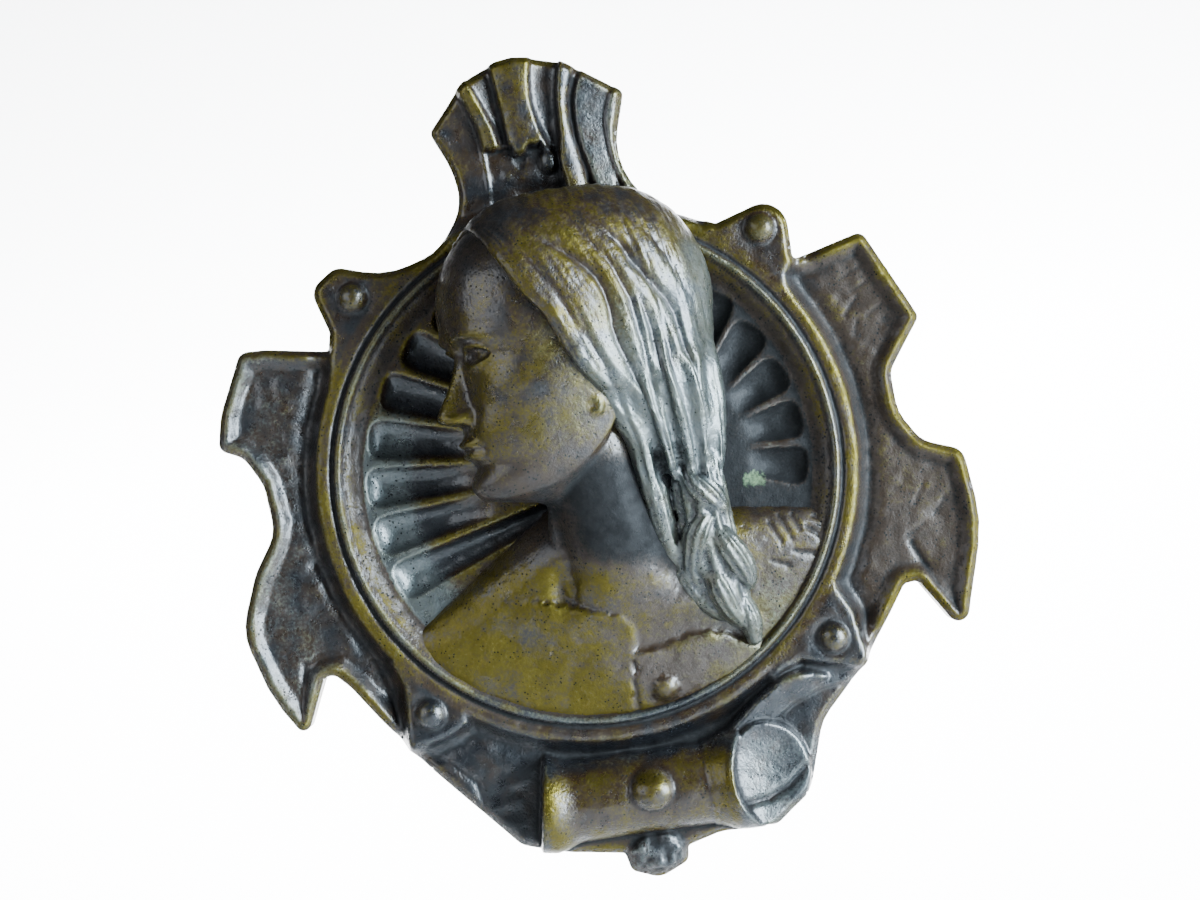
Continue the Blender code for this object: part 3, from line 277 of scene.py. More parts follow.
# The strap layer's ears, each around a rivet, clockwise
EARS = (
    ((30, 42), (33, 49), (54, 52), (47.4, 35), (44.6, 31.5), (45, 26), (30, 30)),
    ((43.2, -31.2), (45.8, -37), (47.4, -48.5), (41.5, -46.6), (34, -44.6), (28, -47), (30, -30)),
    ((-34, -45.2), (-38, -46.8), (-46, -48.6), (-45, -41), (-44.6, -36), (-46, -31), (-30, -30)),
    ((-48.4, 26), (-47.2, 33), (-52, 46), (-43, 54), (-26, 50), (-26, 42), (-30, 30)),
)


def rounded(corners, arc_step=12.0):
    """The closed outline through corners, each turned by an arc of its radius."""
    points = []
    for i, (u, v, radius) in enumerate(corners):
        here = np.array((u, v))
        before = np.array(corners[i - 1][:2]) - here
        after = np.array(corners[(i + 1) % len(corners)][:2]) - here
        reach_before, reach_after = np.linalg.norm(before), np.linalg.norm(after)
        before, after = before / reach_before, after / reach_after
        half = math.acos(np.clip(before @ after, -1.0, 1.0)) / 2.0
        reach = min(radius / math.tan(half), 0.49 * reach_before, 0.49 * reach_after)
        radius = reach * math.tan(half)
        centre = here + (before + after) / np.linalg.norm(before + after) * radius / math.sin(half)
        start = here + before * reach - centre
        end = here + after * reach - centre
        sweep = math.atan2(start[0] * end[1] - start[1] * end[0], start @ end)
        steps = max(1, round(abs(math.degrees(sweep)) / arc_step))
        for turn in np.linspace(0.0, sweep, steps + 1):
            c, s = math.cos(turn), math.sin(turn)
            points.append(centre + (c * start[0] - s * start[1], s * start[0] + c * start[1]))
    return np.array(points)


def medallion_radius(u, v):
    return np.hypot(u - MEDALLION[0], v - MEDALLION[1])


def strap_distance(u, v):
    """How far inside the strap layer, which is the ring and its four ears."""
    inside = STRAP_RADIUS - medallion_radius(u, v)
    for ear in EARS:
        inside = soft_max(inside, inside_distance(u, v, ear), 1.0)
    return inside


def flutes(u, v):
    """Depth of the shell's flutes, which narrow from the dish's rim towards a point behind the hair."""
    depth = np.zeros(np.shape(u))
    for k in range(FLUTE_COUNT):
        turn = math.radians(FLUTE_FIRST + FLUTE_STEP * k)
        run_u = MEDALLION[0] + FLUTE_REACH * math.cos(turn) - FLUTE_FOCUS[0]
        run_v = MEDALLION[1] + FLUTE_REACH * math.sin(turn) - FLUTE_FOCUS[1]
        length = math.hypot(run_u, run_v)
        along = ((u - FLUTE_FOCUS[0]) * run_u + (v - FLUTE_FOCUS[1]) * run_v) / length
        aside = np.abs((v - FLUTE_FOCUS[1]) * run_u - (u - FLUTE_FOCUS[0]) * run_v) / length
        width = FLUTE_HALF * np.clip(along / length, 0.1, 1.0)
        past_end = np.clip(along - (length - FLUTE_HALF), 0.0, None)
        from_middle = np.clip((aside / width) ** 3 + (past_end / FLUTE_HALF) ** 3, 0.0, 1.0) ** (1.0 / 3.0)
        span = FLUTE_FADE if k else FIRST_FADE
        hollow = FLUTE_DEPTH * smooth(*span, along / length) * (1.0 - from_middle ** 2) ** 0.7
        depth = np.maximum(depth, hollow)
    return depth


def medallion(u, v):
    """The dish with its flutes, and the thin bead round it."""
    radius = medallion_radius(u, v)
    dish = DISH_LEVEL + (STRAP_LEVEL - DISH_LEVEL) * smooth(DISH_RADIUS, BEAD_RADIUS - BEAD_HALF_WIDTH, radius)
    bead = BEAD_RISE * crown(radius - BEAD_RADIUS, BEAD_HALF_WIDTH)
    groove = 0.6 * bump(radius - BEAD_RADIUS - 1.3, 0.55)
    return dish - flutes(u, v) + bead - groove


def rivet(u, v, centre, radius=RIVET_RADIUS):
    """A worn, domed rivet head."""
    distance = np.hypot(u - centre[0], v - centre[1])
    return RIVET_RISE * crown(distance, radius) ** 1.4 - 0.15 * bump(distance - radius - 0.4, 0.8)


# The lines between the fan's ribs and flutes as (up, across), and each form's level on its left and its
# right side and how far it swells
FAN_LINES = (
    ((52, -11), (65, -10.2), (70, -10.5), (75, -11.8), (80, -13.6)),
    ((52, -7.4), (66, -6.8), (70, -7.3), (74, -8.5), (79, -10.2), (83, -12)),
    ((52, -4.6), (66, -4.9), (72, -5.2), (83, -6)),
    ((52, 3.4), (66, 2.4), (70, 1.5), (75, 1), (80, 1.6), (84, 2.6)),
    ((52, 5.2), (58, 5), (62, 4.7), (66, 5.4), (70, 5.8), (75, 6.3), (81, 7.8), (84, 8.8)),
    ((52, 9.8), (62, 8.8), (66, 8.3), (70, 8.1), (75, 8.8), (80, 10.8), (83, 12)),
    ((52, 11.6), (60, 10.2), (65, 9.3), (70, 9.2), (74, 9.8), (79, 12), (82, 13.6)),
    ((52, 17.4), (57, 15.9), (61, 15.1), (66, 14.9), (71, 15.9), (75, 18.2), (78, 20.6)),
)
FAN_FORMS = ((6.2, 6, -0.4), (7.6, 8.3, 0.3), (7.2, 6.3, -0.3), (8.2, 8.6, 0.4), (7.5, 7, -0.8),
             (9, 7.8, 0.4), (6.8, 6.8, 0), (8, 6.8, 0.1), (7.8, 6.2, 0.2))


def fan(u, v):
    """The fan above the medallion: ribs with flutes between them, broken off short below the middle one."""
    lines = [-FAN_HALF + 0.0 * v] + [curve(v, knots) for knots in FAN_LINES] + [FAN_HALF + 0.0 * v]
    height = np.zeros(np.shape(u))
    for k, (left_level, right_level, swell) in enumerate(FAN_FORMS):
        left, right = lines[k], lines[k + 1]
        t = np.clip((u - left) / (right - left), 0.0, 1.0)
        form = left_level + (right_level - left_level) * t + swell * 4.0 * t * (1.0 - t)
        share = smooth(left - 0.4, left + 0.4, u) * fade(right - 0.4, right + 0.4, u)
        height = height + form * share
    ragged = 1.3 * lumps(u, v, 3.0, 3.0) + 0.8 * lumps(u, v, 1.2, 4.0)
    whole = np.where(u > lines[5] - 0.3, 1.0, smooth(-0.5, 0.5, v - FAN_BREAK + ragged))
    stump = 5.6 + 0.5 * lumps(u, v, 2.4, 5.0)
    stump = stump + 1.7 * crown(oval(u, v, (2.4, 62.6), (1.9, 2.6)), 1.0)
    stump = stump - 0.9 * crown(oval(u, v, (-3.2, 65.4), (1.6, 3.6)), 1.0)
    on_ribs = smooth(lines[1] - 0.6, lines[1] + 0.6, u)
    stump = stump * on_ribs + height * (1.0 - on_ribs)
    return height * whole + stump * (1.0 - whole) + FAN_CURL * smooth(64.0, 84.0, v)


def fan_share(u, v):
    return smooth(FAN_BASE - 3.0, FAN_BASE + 2.0, v) * fade(20.0, 26.0, np.abs(u))


# The strap from the right lower ear to the concave disc at the roll's end, and a crease on the left
STRAP = ((18.5, -58), (24.2, -53.4), (30, -50), (36, -48), (43, -47.4))
STRAP_HALF = 2.8
STRAP_RISE = 3.2
DISC = (23.4, -65.6)
DISC_RADII = (8.8, 10.6)
DISC_RISE = 5.2
DISC_HOLLOW = 1.3
DISC_CREASE = ((18.6, -70.6), (23, -70.6), (27.4, -69), (31.4, -66))
LEFT_CREASE = ((-44, -49.6), (-38, -53.4), (-34.2, -57.4), (-33.4, -63))


def strap(u, v):
    """A band with its crest along the upper side, which slopes towards the outline."""
    distance, side = line_distance(u, v, STRAP)
    across = distance * side
    rise = STRAP_RISE * smooth(-STRAP_HALF - 0.7, -STRAP_HALF + 0.9, across)
    slope = 1.0 - 0.65 * smooth(-STRAP_HALF + 0.9, STRAP_HALF, across)
    return rise * slope * fade(STRAP_HALF, STRAP_HALF + 0.9, across)


def disc(u, v):
    """The hollow end of the scroll, which slopes down to the right, with one curled crease."""
    reach = oval(u, v, DISC, DISC_RADII)
    reach = reach + 0.03 * lumps(u, v, 4.0, 9.0)
    rise = DISC_RISE - 0.24 * (u - 18.0) - DISC_HOLLOW * (1.0 - np.clip(reach, 0.0, 1.0) ** 2)
    rise = rise - 0.9 * line_bump(u, v, DISC_CREASE, 0.8)
    return rise * fade(0.94, 1.05, reach)


def swags(u, v):
    """The surface below the medallion, plain on the left."""
    left = 0.5 * line_bump(u, v, LEFT_CREASE, 0.7)
    return SWAG_LEVEL + soft_max(strap(u, v), disc(u, v), 0.6) - left


def roll_sides(v):
    """Where the roll's slanting left end and its curved right end lie."""
    return -20.4 + 0.2 * (v + 55.5), 16.6 + 0.04 * (v + 65.0) ** 2


def roll(u, v):
    """A rolled scroll that lies across the bottom and flares at both ends, with a lip on the right one."""
    left, right = roll_sides(v)
    flare = smooth(*FLARE_RIGHT, u) + 1.0 - smooth(FLARE_LEFT[1], FLARE_LEFT[0], u)
    seam = 0.3 * smooth(FLARE_RIGHT[0] - 0.4, FLARE_RIGHT[0] + 0.4, u)
    aside = v - ROLL_AXIS - ROLL_SLOPE * u
    height = ROLL_LEVEL + np.sqrt(np.clip((ROLL_RADIUS + FLARE * flare + seam) ** 2 - aside ** 2, 0.0, None))
    height = height + 0.5 * bump(u - right + 0.9, 0.7)
    height = height * smooth(left - 0.5, left + 0.5, u) * fade(right - 0.4, right + 0.6, u)
    return np.where(np.abs(aside) < ROLL_RADIUS + FLARE + 0.3, height, 0.0)


def foot(u, v):
    """The rough lump below the roll."""
    reach = oval(u, v, FOOT, FOOT_RADII)
    rough = 1.1 * lumps(u, v, 2.6, 5.0) + 0.9 * lumps(u, v, 1.2, 15.0)
    return (FOOT_LEVEL - 0.6) * crown(reach, 1.0) ** 0.4 + rough * (reach < 1.0)


# Lines cut into the wings' lower lobes
WING_CREASES = (((60.5, -26), (64, -35), (67.2, -41)), ((-64, -28), (-66.2, -39)))


def plate(u, v, edge):
    """Height of the whole cartouche in front of the back, at edge millimetres inside the outline."""
    strap = strap_distance(u, v)
    on_wing = smooth(46.5, 49.0, np.abs(u)) * smooth(-47.0, -44.0, v)
    low = WING_LEVEL + RIM_RISE * fade(*RIM_INSIDE, edge) * on_wing
    for crease in WING_CREASES:
        low = low - 0.6 * line_bump(u, v, crease, 0.7)
    below = fade(-50.0, -46.0, v + 0.25 * (np.abs(u) - 40.0))
    low = low * (1.0 - below) + swags(u, v) * below
    share = fan_share(u, v)
    low = low * (1.0 - share) + fan(u, v) * share
    low = soft_max(low, roll(u, v), 0.4)
    step = (1.0 - np.clip(-strap / STRAP_COVE, 0.0, 1.0)) ** 1.9
    flat = STRAP_LEVEL - 0.3 * fade(0.0, 1.0, strap)
    height = np.where(strap > -STRAP_COVE, np.maximum(low, low * (1.0 - step) + flat * step), low)
    height = height - 0.9 * bump(strap + STRAP_COVE - 0.3, 1.9) * (low < STRAP_LEVEL - 1.0) * (strap < 0.0)
    height = np.where(medallion_radius(u, v) < BEAD_RADIUS + 2.4, medallion(u, v), height)
    for centre in RIVETS:
        height = height + rivet(u, v, centre)
    height = height + rivet(u, v, ROLL_RIVET, ROLL_RIVET_RADIUS)
    height = np.maximum(height, foot(u, v))
    return height - EDGE_DROP * fade(0.0, EDGE_ROUND, edge) * (height > 3.0)


def below_line(u, v, line):
    """Distance below a straight line from left to right."""
    (au, av), (bu, bv) = line
    return ((u - au) * (bv - av) - (v - av) * (bu - au)) / math.hypot(bu - au, bv - av)


NECKLINE = ((-6, -26.5), (0.5, -28.5), (2.6, -31.4), (1.6, -36.4), (7.5, -36.9), (13, -35.2), (20, -36.4),
            (26.5, -40))
COLLAR_BONE = ((-6.5, -27), (4, -29.6), (14, -29))


def below_shoulders(u, v):
    return np.minimum(below_line(u, v, SHOULDER_LEFT), below_line(u, v, SHOULDER_RIGHT))


def chest(u, v):
    """The shoulders and chest, seen from the front, which fill the foot of the medallion."""
    radius = medallion_radius(u, v)
    level = CHEST_EDGE + CHEST_RISE * (1.0 - np.clip(radius / BEAD_RADIUS, 0.0, 1.0) ** 2) ** 0.8
    turn = np.clip(below_shoulders(u, v) / SHOULDER_ROUND, 0.0, 1.0)
    level = SHOULDER_EDGE + (level - SHOULDER_EDGE) * np.sqrt(1.0 - (1.0 - turn) ** 2)
    neckline, side = line_distance(u, v, NECKLINE)
    ragged = 0.5 * lumps(u, v, 1.8, 21.0)
    cloth = 1.1 * smooth(-0.4, 0.4, neckline * side + ragged) * fade(6.0, 16.0, neckline)
    knot = 1.6 * crown(np.hypot(u - KNOT[0], v - KNOT[1]), KNOT_RADIUS)
    collar_bone = 1.1 * line_bump(u, v, COLLAR_BONE, COLLAR_BONE_HALF)
    notch = 2.2 * bump(np.hypot(u + 8.0, v + 22.0), 4.0)
    neck_root = NECK_ROOT_RISE * np.exp(-(((u - 3.0) / 15.0) ** 2) - ((v + 17.0) / 11.0) ** 2)
    return level + cloth + knot + collar_bone - notch + neck_root


def chest_reach(u, v):
    """How far inside the chest's edge, which is the bead below and the shoulders above."""
    return np.minimum(below_shoulders(u, v), BEAD_RADIUS - 0.4 - medallion_radius(u, v))


# The head, in head heights. Level is 0 under the chin and 1 at the crown. These are the classical canons:
# the eyes at half height, and the hairline, brow, base of the nose and chin a third of the face apart.
FRONT = ((-0.06, 0.33), (-0.015, 0.37), (0.02, 0.398), (0.06, 0.412), (0.12, 0.402), (0.2, 0.416), (0.27, 0.418),
         (0.34, 0.408), (0.43, 0.402), (0.5, 0.41), (0.56, 0.43), (0.64, 0.438), (0.8, 0.437), (1, 0.43))
BACK = ((-0.06, 0.2), (0.1, 0.24), (0.22, 0.31), (0.32, 0.385), (0.42, 0.44), (0.52, 0.46), (1, 0.455))
SIDE = ((-0.06, 0.13), (0, 0.16), (0.06, 0.2), (0.14, 0.232), (0.24, 0.262), (0.36, 0.298), (0.46, 0.315),
        (0.6, 0.332), (1, 0.335))
NOSE_RISE = ((0.27, 0), (0.279, 0.03), (0.288, 0.066), (0.3, 0.09), (0.316, 0.099), (0.334, 0.095), (0.37, 0.076),
             (0.42, 0.048), (0.47, 0.02), (0.51, 0.004), (0.54, 0))
NOSE_WIDTH = ((0.27, 0.05), (0.3, 0.05), (0.33, 0.046), (0.38, 0.036), (0.44, 0.03), (0.5, 0.032), (0.54, 0.04))
EYE = (0.126, 0.5)
EYE_HALF = 0.066
MOUTH = 0.192
MOUTH_HALF = 0.088


# Soft mounds and hollows of the face, each (sideways, level, half width, half height, rise)
MOUNDS = ((0.052, 0.304, 0.019, 0.021, 0.04), (0.082, 0.3, 0.012, 0.03, -0.008), (0.03, 0.276, 0.016, 0.008, -0.03),
          (0.085, 0.512, 0.055, 0.036, -0.03), (0.16, 0.505, 0.05, 0.036, -0.016), (0.2, 0.405, 0.075, 0.06, 0.012),
          (MOUTH_HALF + 0.004, MOUTH, 0.012, 0.014, -0.008), (0.0, 0.25, 0.012, 0.022, -0.006),
          (0, 0.128, 0.09, 0.02, -0.012), (0, 0.058, 0.075, 0.04, 0.02))


def hill(x, level, sideways, middle, across, up, rise):
    """A soft mound on the face."""
    return rise * np.exp(-(((x - sideways) / across) ** 2) - ((level - middle) / up) ** 2)


def eye_relief(x, level):
    """The eyeball, its two lids and the fold above them."""
    from_middle = (x - EYE[0]) / EYE_HALF
    almond = np.clip(1.0 - from_middle ** 2, 0.0, 1.0)
    upper = EYE[1] + 0.031 * almond ** 0.7 + 0.004 * from_middle
    lower = EYE[1] - 0.021 * almond ** 0.8 + 0.002 * from_middle
    near = fade(0.85, 1.15, np.abs(from_middle))
    opening = smooth(lower - 0.004, lower + 0.004, level) * fade(upper - 0.004, upper + 0.004, level) * near
    relief = hill(x, level, *EYE, 0.055, 0.036, 0.024) - 0.016 * opening
    relief += 0.013 * bump(level - upper - 0.007, 0.008) * near
    relief -= 0.012 * bump(level - upper - 0.027, 0.008) * near
    relief += 0.009 * bump(level - lower + 0.009, 0.009) * near
    return relief


def face_relief(x, level):
    """What stands out of, or is sunk in, the plain mask of the face, at x sideways from the middle."""
    relief = curve(level, NOSE_RISE) * fade(0.2, 1.45, x / curve(level, NOSE_WIDTH))
    relief += sum(hill(x, level, *mound) for mound in MOUNDS)
    brow = 0.558 + 0.018 * (1.0 - ((x - 0.12) / 0.11) ** 2)
    relief += 0.014 * bump(level - brow, 0.018) * smooth(0.02, 0.07, x) * fade(0.18, 0.24, x)
    relief += eye_relief(x, level)
    mouth_side = fade(0.35, 1.05, x / MOUTH_HALF)
    bow = 0.004 * bump(x, 0.014) - 0.003 * bump(x - 0.022, 0.014)
    relief += 0.03 * bump(level - MOUTH - 0.019 + bow, 0.017) * mouth_side
    relief += 0.028 * bump(level - MOUTH + 0.021, 0.018) * mouth_side
    relief -= 0.012 * bump(level - MOUTH, 0.006) * fade(0.8, 1.05, x / MOUTH_HALF)
    return relief


def skull_radius(angle, level):
    """Distance of the plain mask from the head's upright axis; angle 0 is the front."""
    dome = (1.0 - np.clip((level - 0.6) / 0.4, 0.0, 1.0) ** 2.5) ** 0.4
    forward, sideways = np.cos(angle), np.abs(np.sin(angle))
    depth = np.where(forward > 0.0, curve(level, FRONT), curve(level, BACK)) * dome
    width = curve(level, SIDE) * dome
    power = 2.25
    return ((np.abs(forward) / np.maximum(depth, 1e-4)) ** power
            + (sideways / np.maximum(width, 1e-4)) ** power) ** (-1.0 / power)


# Under the jaw the head draws in to the throat, whose half width this is; and the jaw's edge by angle in degrees
THROAT = 0.17
JAW_EDGE = ((0, -0.005), (25, 0), (50, 0.035), (75, 0.095), (95, 0.17), (110, 0.27), (180, 0.3))


def head_radius(angle, level):
    """Distance of the skin from the head's upright axis, with the face and the edge of the jaw."""
    radius = skull_radius(angle, level)
    x = radius * np.abs(np.sin(angle))
    radius = radius + face_relief(x, level) * smooth(0.0, 0.35, np.cos(angle))
    jaw = curve(np.degrees(np.abs(angle)), JAW_EDGE)
    return THROAT + (radius - THROAT) * smooth(jaw - 0.045, jaw + 0.02, level)


def place_head(radius, angle, level):
    """A point of the head, in head heights about its axis, as (across, up, height) on the plaque."""
    forward, sideways = radius * np.cos(angle), radius * np.sin(angle)
    yaw = math.radians(HEAD_YAW)
    across = HEAD_AXIS[0] + HEAD_HEIGHT * (-forward * math.cos(yaw) + sideways * math.sin(yaw))
    height = HEAD_AXIS[1] + HEAD_HEIGHT * RELIEF_SQUEEZE * (forward * math.sin(yaw) + sideways * math.cos(yaw))
    return across, CHIN_LEVEL + HEAD_HEIGHT * level, height


# The hair's edge against the face and neck, as (up, across)
HAIR_EDGE = ((-12.6, 13.7), (-3.8, 12.2), (2, 11.2), (8.3, 8.6), (11.6, 5.8), (14.9, 3.8), (18.1, 1.5),
             (20.9, -0.3), (24.6, -1.9), (28.4, -3.2), (31.6, -4.5), (34.9, -6.9), (38.7, -8.8), (43.1, -11.2),
             (47.3, -13.7), (50, -18), (51, -24))


def hair_radius(angle, level):
    """Distance of the combed hair from the head's axis; under the face it sinks out of sight."""
    radius = skull_radius(angle, level)
    across, up, _ = place_head(radius, angle, level)
    near = smooth(-0.6, 0.5, across - curve(up, HAIR_EDGE))
    far = smooth(0.84, 0.88, level - 0.0016 * np.clip(np.degrees(-angle), 0.0, 90.0))
    cover = np.where(np.sin(angle) > 0.0, near, far)
    back = fade(-0.8, 0.2, np.cos(angle))
    parting = smooth(-19.0, -2.0, across + 0.5 * (48.0 - up))
    parting = parting * np.where(np.sin(angle) > 0.0, 1.0, 0.35 + 0.65 * back)
    near_side = smooth(-0.3, 0.3, np.sin(angle))
    thickness = HAIR_THICKNESS / HEAD_HEIGHT * (0.08 + 0.22 * near_side + 0.7 * parting + 0.55 * back)
    ends = smooth(0.12, 0.34, level)
    return np.maximum(radius * (0.6 + 0.4 * ends) + (thickness + 0.05) * cover * ends - 0.05, 0.02)


def hair_lift(angle, level):
    """How much higher the combed hair lies than the skull under it, least above the brow."""
    behind = smooth(-0.9, 0.5, -np.cos(angle))
    full = smooth(0.9, 1.0, level)
    return HAIR_THICKNESS / HEAD_HEIGHT * smooth(0.7, 1.0, level) * (0.1 + 0.6 * behind * (1.0 - full) + 0.6 * full)


# Lines combed into the hair: (depth, half width, points)
HAIR_GROOVES = (
    (1.5, 0.75, ((-4.5, 47), (-1.7, 44.6), (1.1, 42.7), (4.3, 40), (6.2, 37.6), (7.6, 35.8), (8.6, 33),
                 (9, 29.3), (9, 26.5), (9.5, 22.8), (10.5, 19.5), (11.4, 16.2), (11.8, 10), (12.6, 3),
                 (13.4, -4))),
    (1.7, 0.8, ((8.6, 47.3), (11.9, 43), (13.8, 40.7), (14.7, 38.4), (16.6, 35.6), (18.6, 32.4), (20.5, 29.5),
                (21.7, 26.8), (22.1, 23), (22.4, 19.2), (23.7, 16.3), (24.4, 13.5), (24.6, 6), (23.8, 0))),
    (0.9, 0.6, ((-2, 29.6), (-1.2, 26.6), (0.1, 23.6))),
    (1.3, 0.7, ((17.6, 29), (18.6, 22), (19.5, 15.3), (20.6, 8.6), (20.8, 2), (20.6, -4))),
    (1.2, 0.7, ((14.8, 33), (16.2, 24.4), (16.2, 14.4), (16.4, 7.7), (16.9, 0), (17.4, -5))),
    (0.6, 0.6, ((-9.6, 47.6), (-4.6, 41), (-0.4, 33.8), (2.6, 27), (5.6, 20), (7.4, 13), (8.9, 5),
                (10.2, -4))),
    (0.7, 0.7, ((2.6, 49.6), (7, 43.6), (11, 37), (13.2, 30.4), (14, 22), (14.2, 14), (14.8, 6),
                (15.4, -3))),
    (0.5, 0.6, ((14.6, 47.6), (19.6, 41.6), (23, 35), (25, 28.6), (25.6, 22))),
)


def combed(u, v):
    """Depth of the lines combed into the hair, broad ones and fine ones that follow them."""
    depth = np.zeros(np.shape(u))
    for deep, half_width, points in HAIR_GROOVES:
        distance, _ = line_distance(u, v, points)
        groove = 0.55 * bump(distance, half_width) + 0.45 * bump(distance, 3.2 * half_width)
        begun = smooth(0.0, 12.0, np.hypot(u - points[0][0], v - points[0][1]))
        depth = np.maximum(depth, 0.95 * deep * groove * (0.2 + 0.8 * begun))
    left = curve(v, HAIR_EDGE)
    right = 22.0 + 7.5 * np.sqrt(np.clip(1.0 - ((v - 22.0) / 34.0) ** 2, 0.0, 1.0))
    share = (u - left) / np.maximum(right - left, 4.0)
    strands = lumps(share * 34.0, v / 16.0, 1.0, 2.0)
    fine = lumps(share * 80.0, v / 9.0, 1.0, 4.0)
    return depth - 0.2 * strands - 0.1 * fine


# The mass of hair at the nape and its locks: points (across, up, height) and half sizes (wide, thick)
NAPE = (((11, 46, 6), (13.6, 33, 10), (16.8, 20, 12.6), (19.2, 9, 13.5), (20.2, -1, 13.5),
         (20.2, -8, 13.5)),
        ((5, 5), (12, 13), (11.8, 15), (8.6, 12), (6.6, 8.4), (4.8, 6)))
LOCKS = (
    (((2.6, 27, 19), (6.8, 13, 22.4), (10.2, 4, 19.4), (10.8, -5, 17), (11.6, -14, 15.4),
      (13.4, -23, 13.4)),
     ((1.2, 2.6), (2.8, 3.4), (3.2, 4), (3, 3.8), (2.6, 3.2), (1.6, 2.4))),
    (((7.6, 32, 17), (12.2, 14, 24), (14.8, 4, 21), (15.6, -5, 18)),
     ((1.4, 2.8), (2.8, 3.4), (2.6, 3.4), (2, 2.8))),
    (((12.8, 36, 14), (17.4, 15, 24.4), (18.8, 4, 21.2), (19.2, -5, 17.4)),
     ((1.4, 2.8), (2.8, 3.4), (2.4, 3.2), (1.8, 2.8))),
    (((18, 38, 9), (22.4, 15, 21.6), (22.6, 4, 19.4), (21.6, -5, 16.4)),
     ((1.4, 2.8), (2.8, 3.8), (2.6, 3.6), (1.8, 3))),
    (((23.4, 36, 5), (26.2, 14, 15), (25.4, 3, 15), (23.4, -6, 14.5)),
     ((2, 3.4), (2.2, 4.6), (2, 4.2), (1.6, 3.4))),
)
# The braid's leaf-shaped turns from the top down, over a plain core
BRAID = (
    (((19.6, 2, 16), (19.8, -8, 15.6), (20.2, -18, 14.6), (21.8, -28, 12.4), (24.6, -37, 9.8)),
     ((4.8, 4.8), (5, 4.4), (5, 4.2), (4.2, 3.6), (1.8, 2.4))),
    (((13.2, -16, 13.5), (13.6, -22, 13), (16.4, -28.4, 11.8), (20.8, -34, 10.6)),
     ((1.2, 2.4), (2, 2.8), (2, 2.6), (1.1, 2))),
    (((24, -29, 12.4), (25.2, -33.8, 11.8), (25.4, -40, 10)), ((1.4, 2.2), (2.2, 2.6), (1.2, 1.8))),
    (((19.4, -23, 15.4), (20.6, -27.4, 14.8), (22, -31.6, 13.2), (24.4, -36, 11.4)),
     ((1.5, 2.2), (2.8, 3), (2.4, 2.8), (1.1, 1.8))),
    (((21.4, -14.4, 16.4), (23, -18.6, 16.8), (25.2, -23.4, 15.2), (26.8, -28.6, 12.8)),
     ((1.4, 2.4), (2.7, 3.2), (2.6, 3), (1.1, 2))),
    (((21.6, -11.4, 16.8), (18.6, -14.6, 17.2), (16.6, -19.4, 15.6), (16, -24, 13.6), (17.4, -28, 12.4)),
     ((1.5, 2.4), (2.8, 3.4), (2.8, 3.2), (2.2, 2.6), (1, 1.8))),
    (((17.4, -0.6, 17.4), (18.6, -4.8, 18), (21.6, -9.2, 17.6), (24.4, -13, 16.2)),
     ((1.5, 2.4), (2.9, 3.4), (2.8, 3.2), (1.1, 2))),
)

# The neck, as (across, up, height) and half sizes (wide, thick), and its two long muscles
NECK = (((1, 12, 14), (0.4, -4, 13), (1.6, -14, 12), (3, -24, 9), (4.4, -34, 4)),
        ((9.4, 8.6), (9.8, 9.2), (10.2, 9.6), (12.4, 9.4), (16, 8)))
NECK_MUSCLES = (
    (((4, 8, 12), (3.4, -3, 17.6), (-0.6, -14, 17.8), (-6.2, -26, 13)),
     ((4.4, 3.6), (4.2, 3.6), (3, 2.4))),
    (((-7, -4, 14.4), (-8.2, -14, 13.6), (-8, -25, 12)), ((2.8, 2.4), (2.8, 2.4), (2, 2))),
)
NAPE_SIDE = (((9, 14, 13), (9.6, 4, 12), (9.4, -8, 10.5), (10, -20, 8)),
             ((8, 9), (7.6, 8), (7.6, 7.6), (9, 6)))
EAR_LOBE = (2.7, 12.6, 25.4)
EAR_LOBE_HALF = (2, 2.6, 1.7)


def new_piece(name):
    piece = bpy.data.objects.new(name, bpy.data.meshes.new(name))
    bpy.context.scene.collection.objects.link(piece)
    return piece


def filled(bm, name):
    """Makes a piece of a finished bmesh, with its faces pointing out."""
    bmesh.ops.recalc_face_normals(bm, faces=bm.faces)
    piece = new_piece(name)
    bm.to_mesh(piece.data)
    bm.free()
    return piece


def place_verts(bm, across, up, height):
    """Moves every vertex of bm to its place on the upright plaque, in metres."""
    for vert, u, v, h in zip(bm.verts, across, up, height):
        vert.co = (u * METRES, -h * METRES, v * METRES)


def ball(name, radius_of, rows, columns, lift_of=None):
    """A closed shell round the head's axis, from a ball whose points radius_of moves out or in."""
    bm = bmesh.new()
    bmesh.ops.create_uvsphere(bm, u_segments=columns, v_segments=rows, radius=1.0)
    points = np.array([vert.co for vert in bm.verts])
    angle = np.arctan2(points[:, 1], points[:, 0])
    share = 0.5 + np.arcsin(np.clip(points[:, 2], -1.0, 1.0)) / math.pi
    pole = np.abs(points[:, 2]) > 0.99999
    level = -0.06 + 1.06 * share
    radius = np.where(pole, 0.0, radius_of(angle, level))
    lift = lift_of(angle, level) if lift_of else 0.0
    place_verts(bm, *place_head(radius, angle, level + lift))
    return filled(bm, name)


def egg(name, centre, radii):
    """A plain rounded lump."""
    bm = bmesh.new()
    bmesh.ops.create_uvsphere(bm, u_segments=24, v_segments=16, radius=1.0)
    points = np.array([vert.co for vert in bm.verts]) * np.array(radii) + np.array(centre)
    place_verts(bm, *points.T)
    return filled(bm, name)


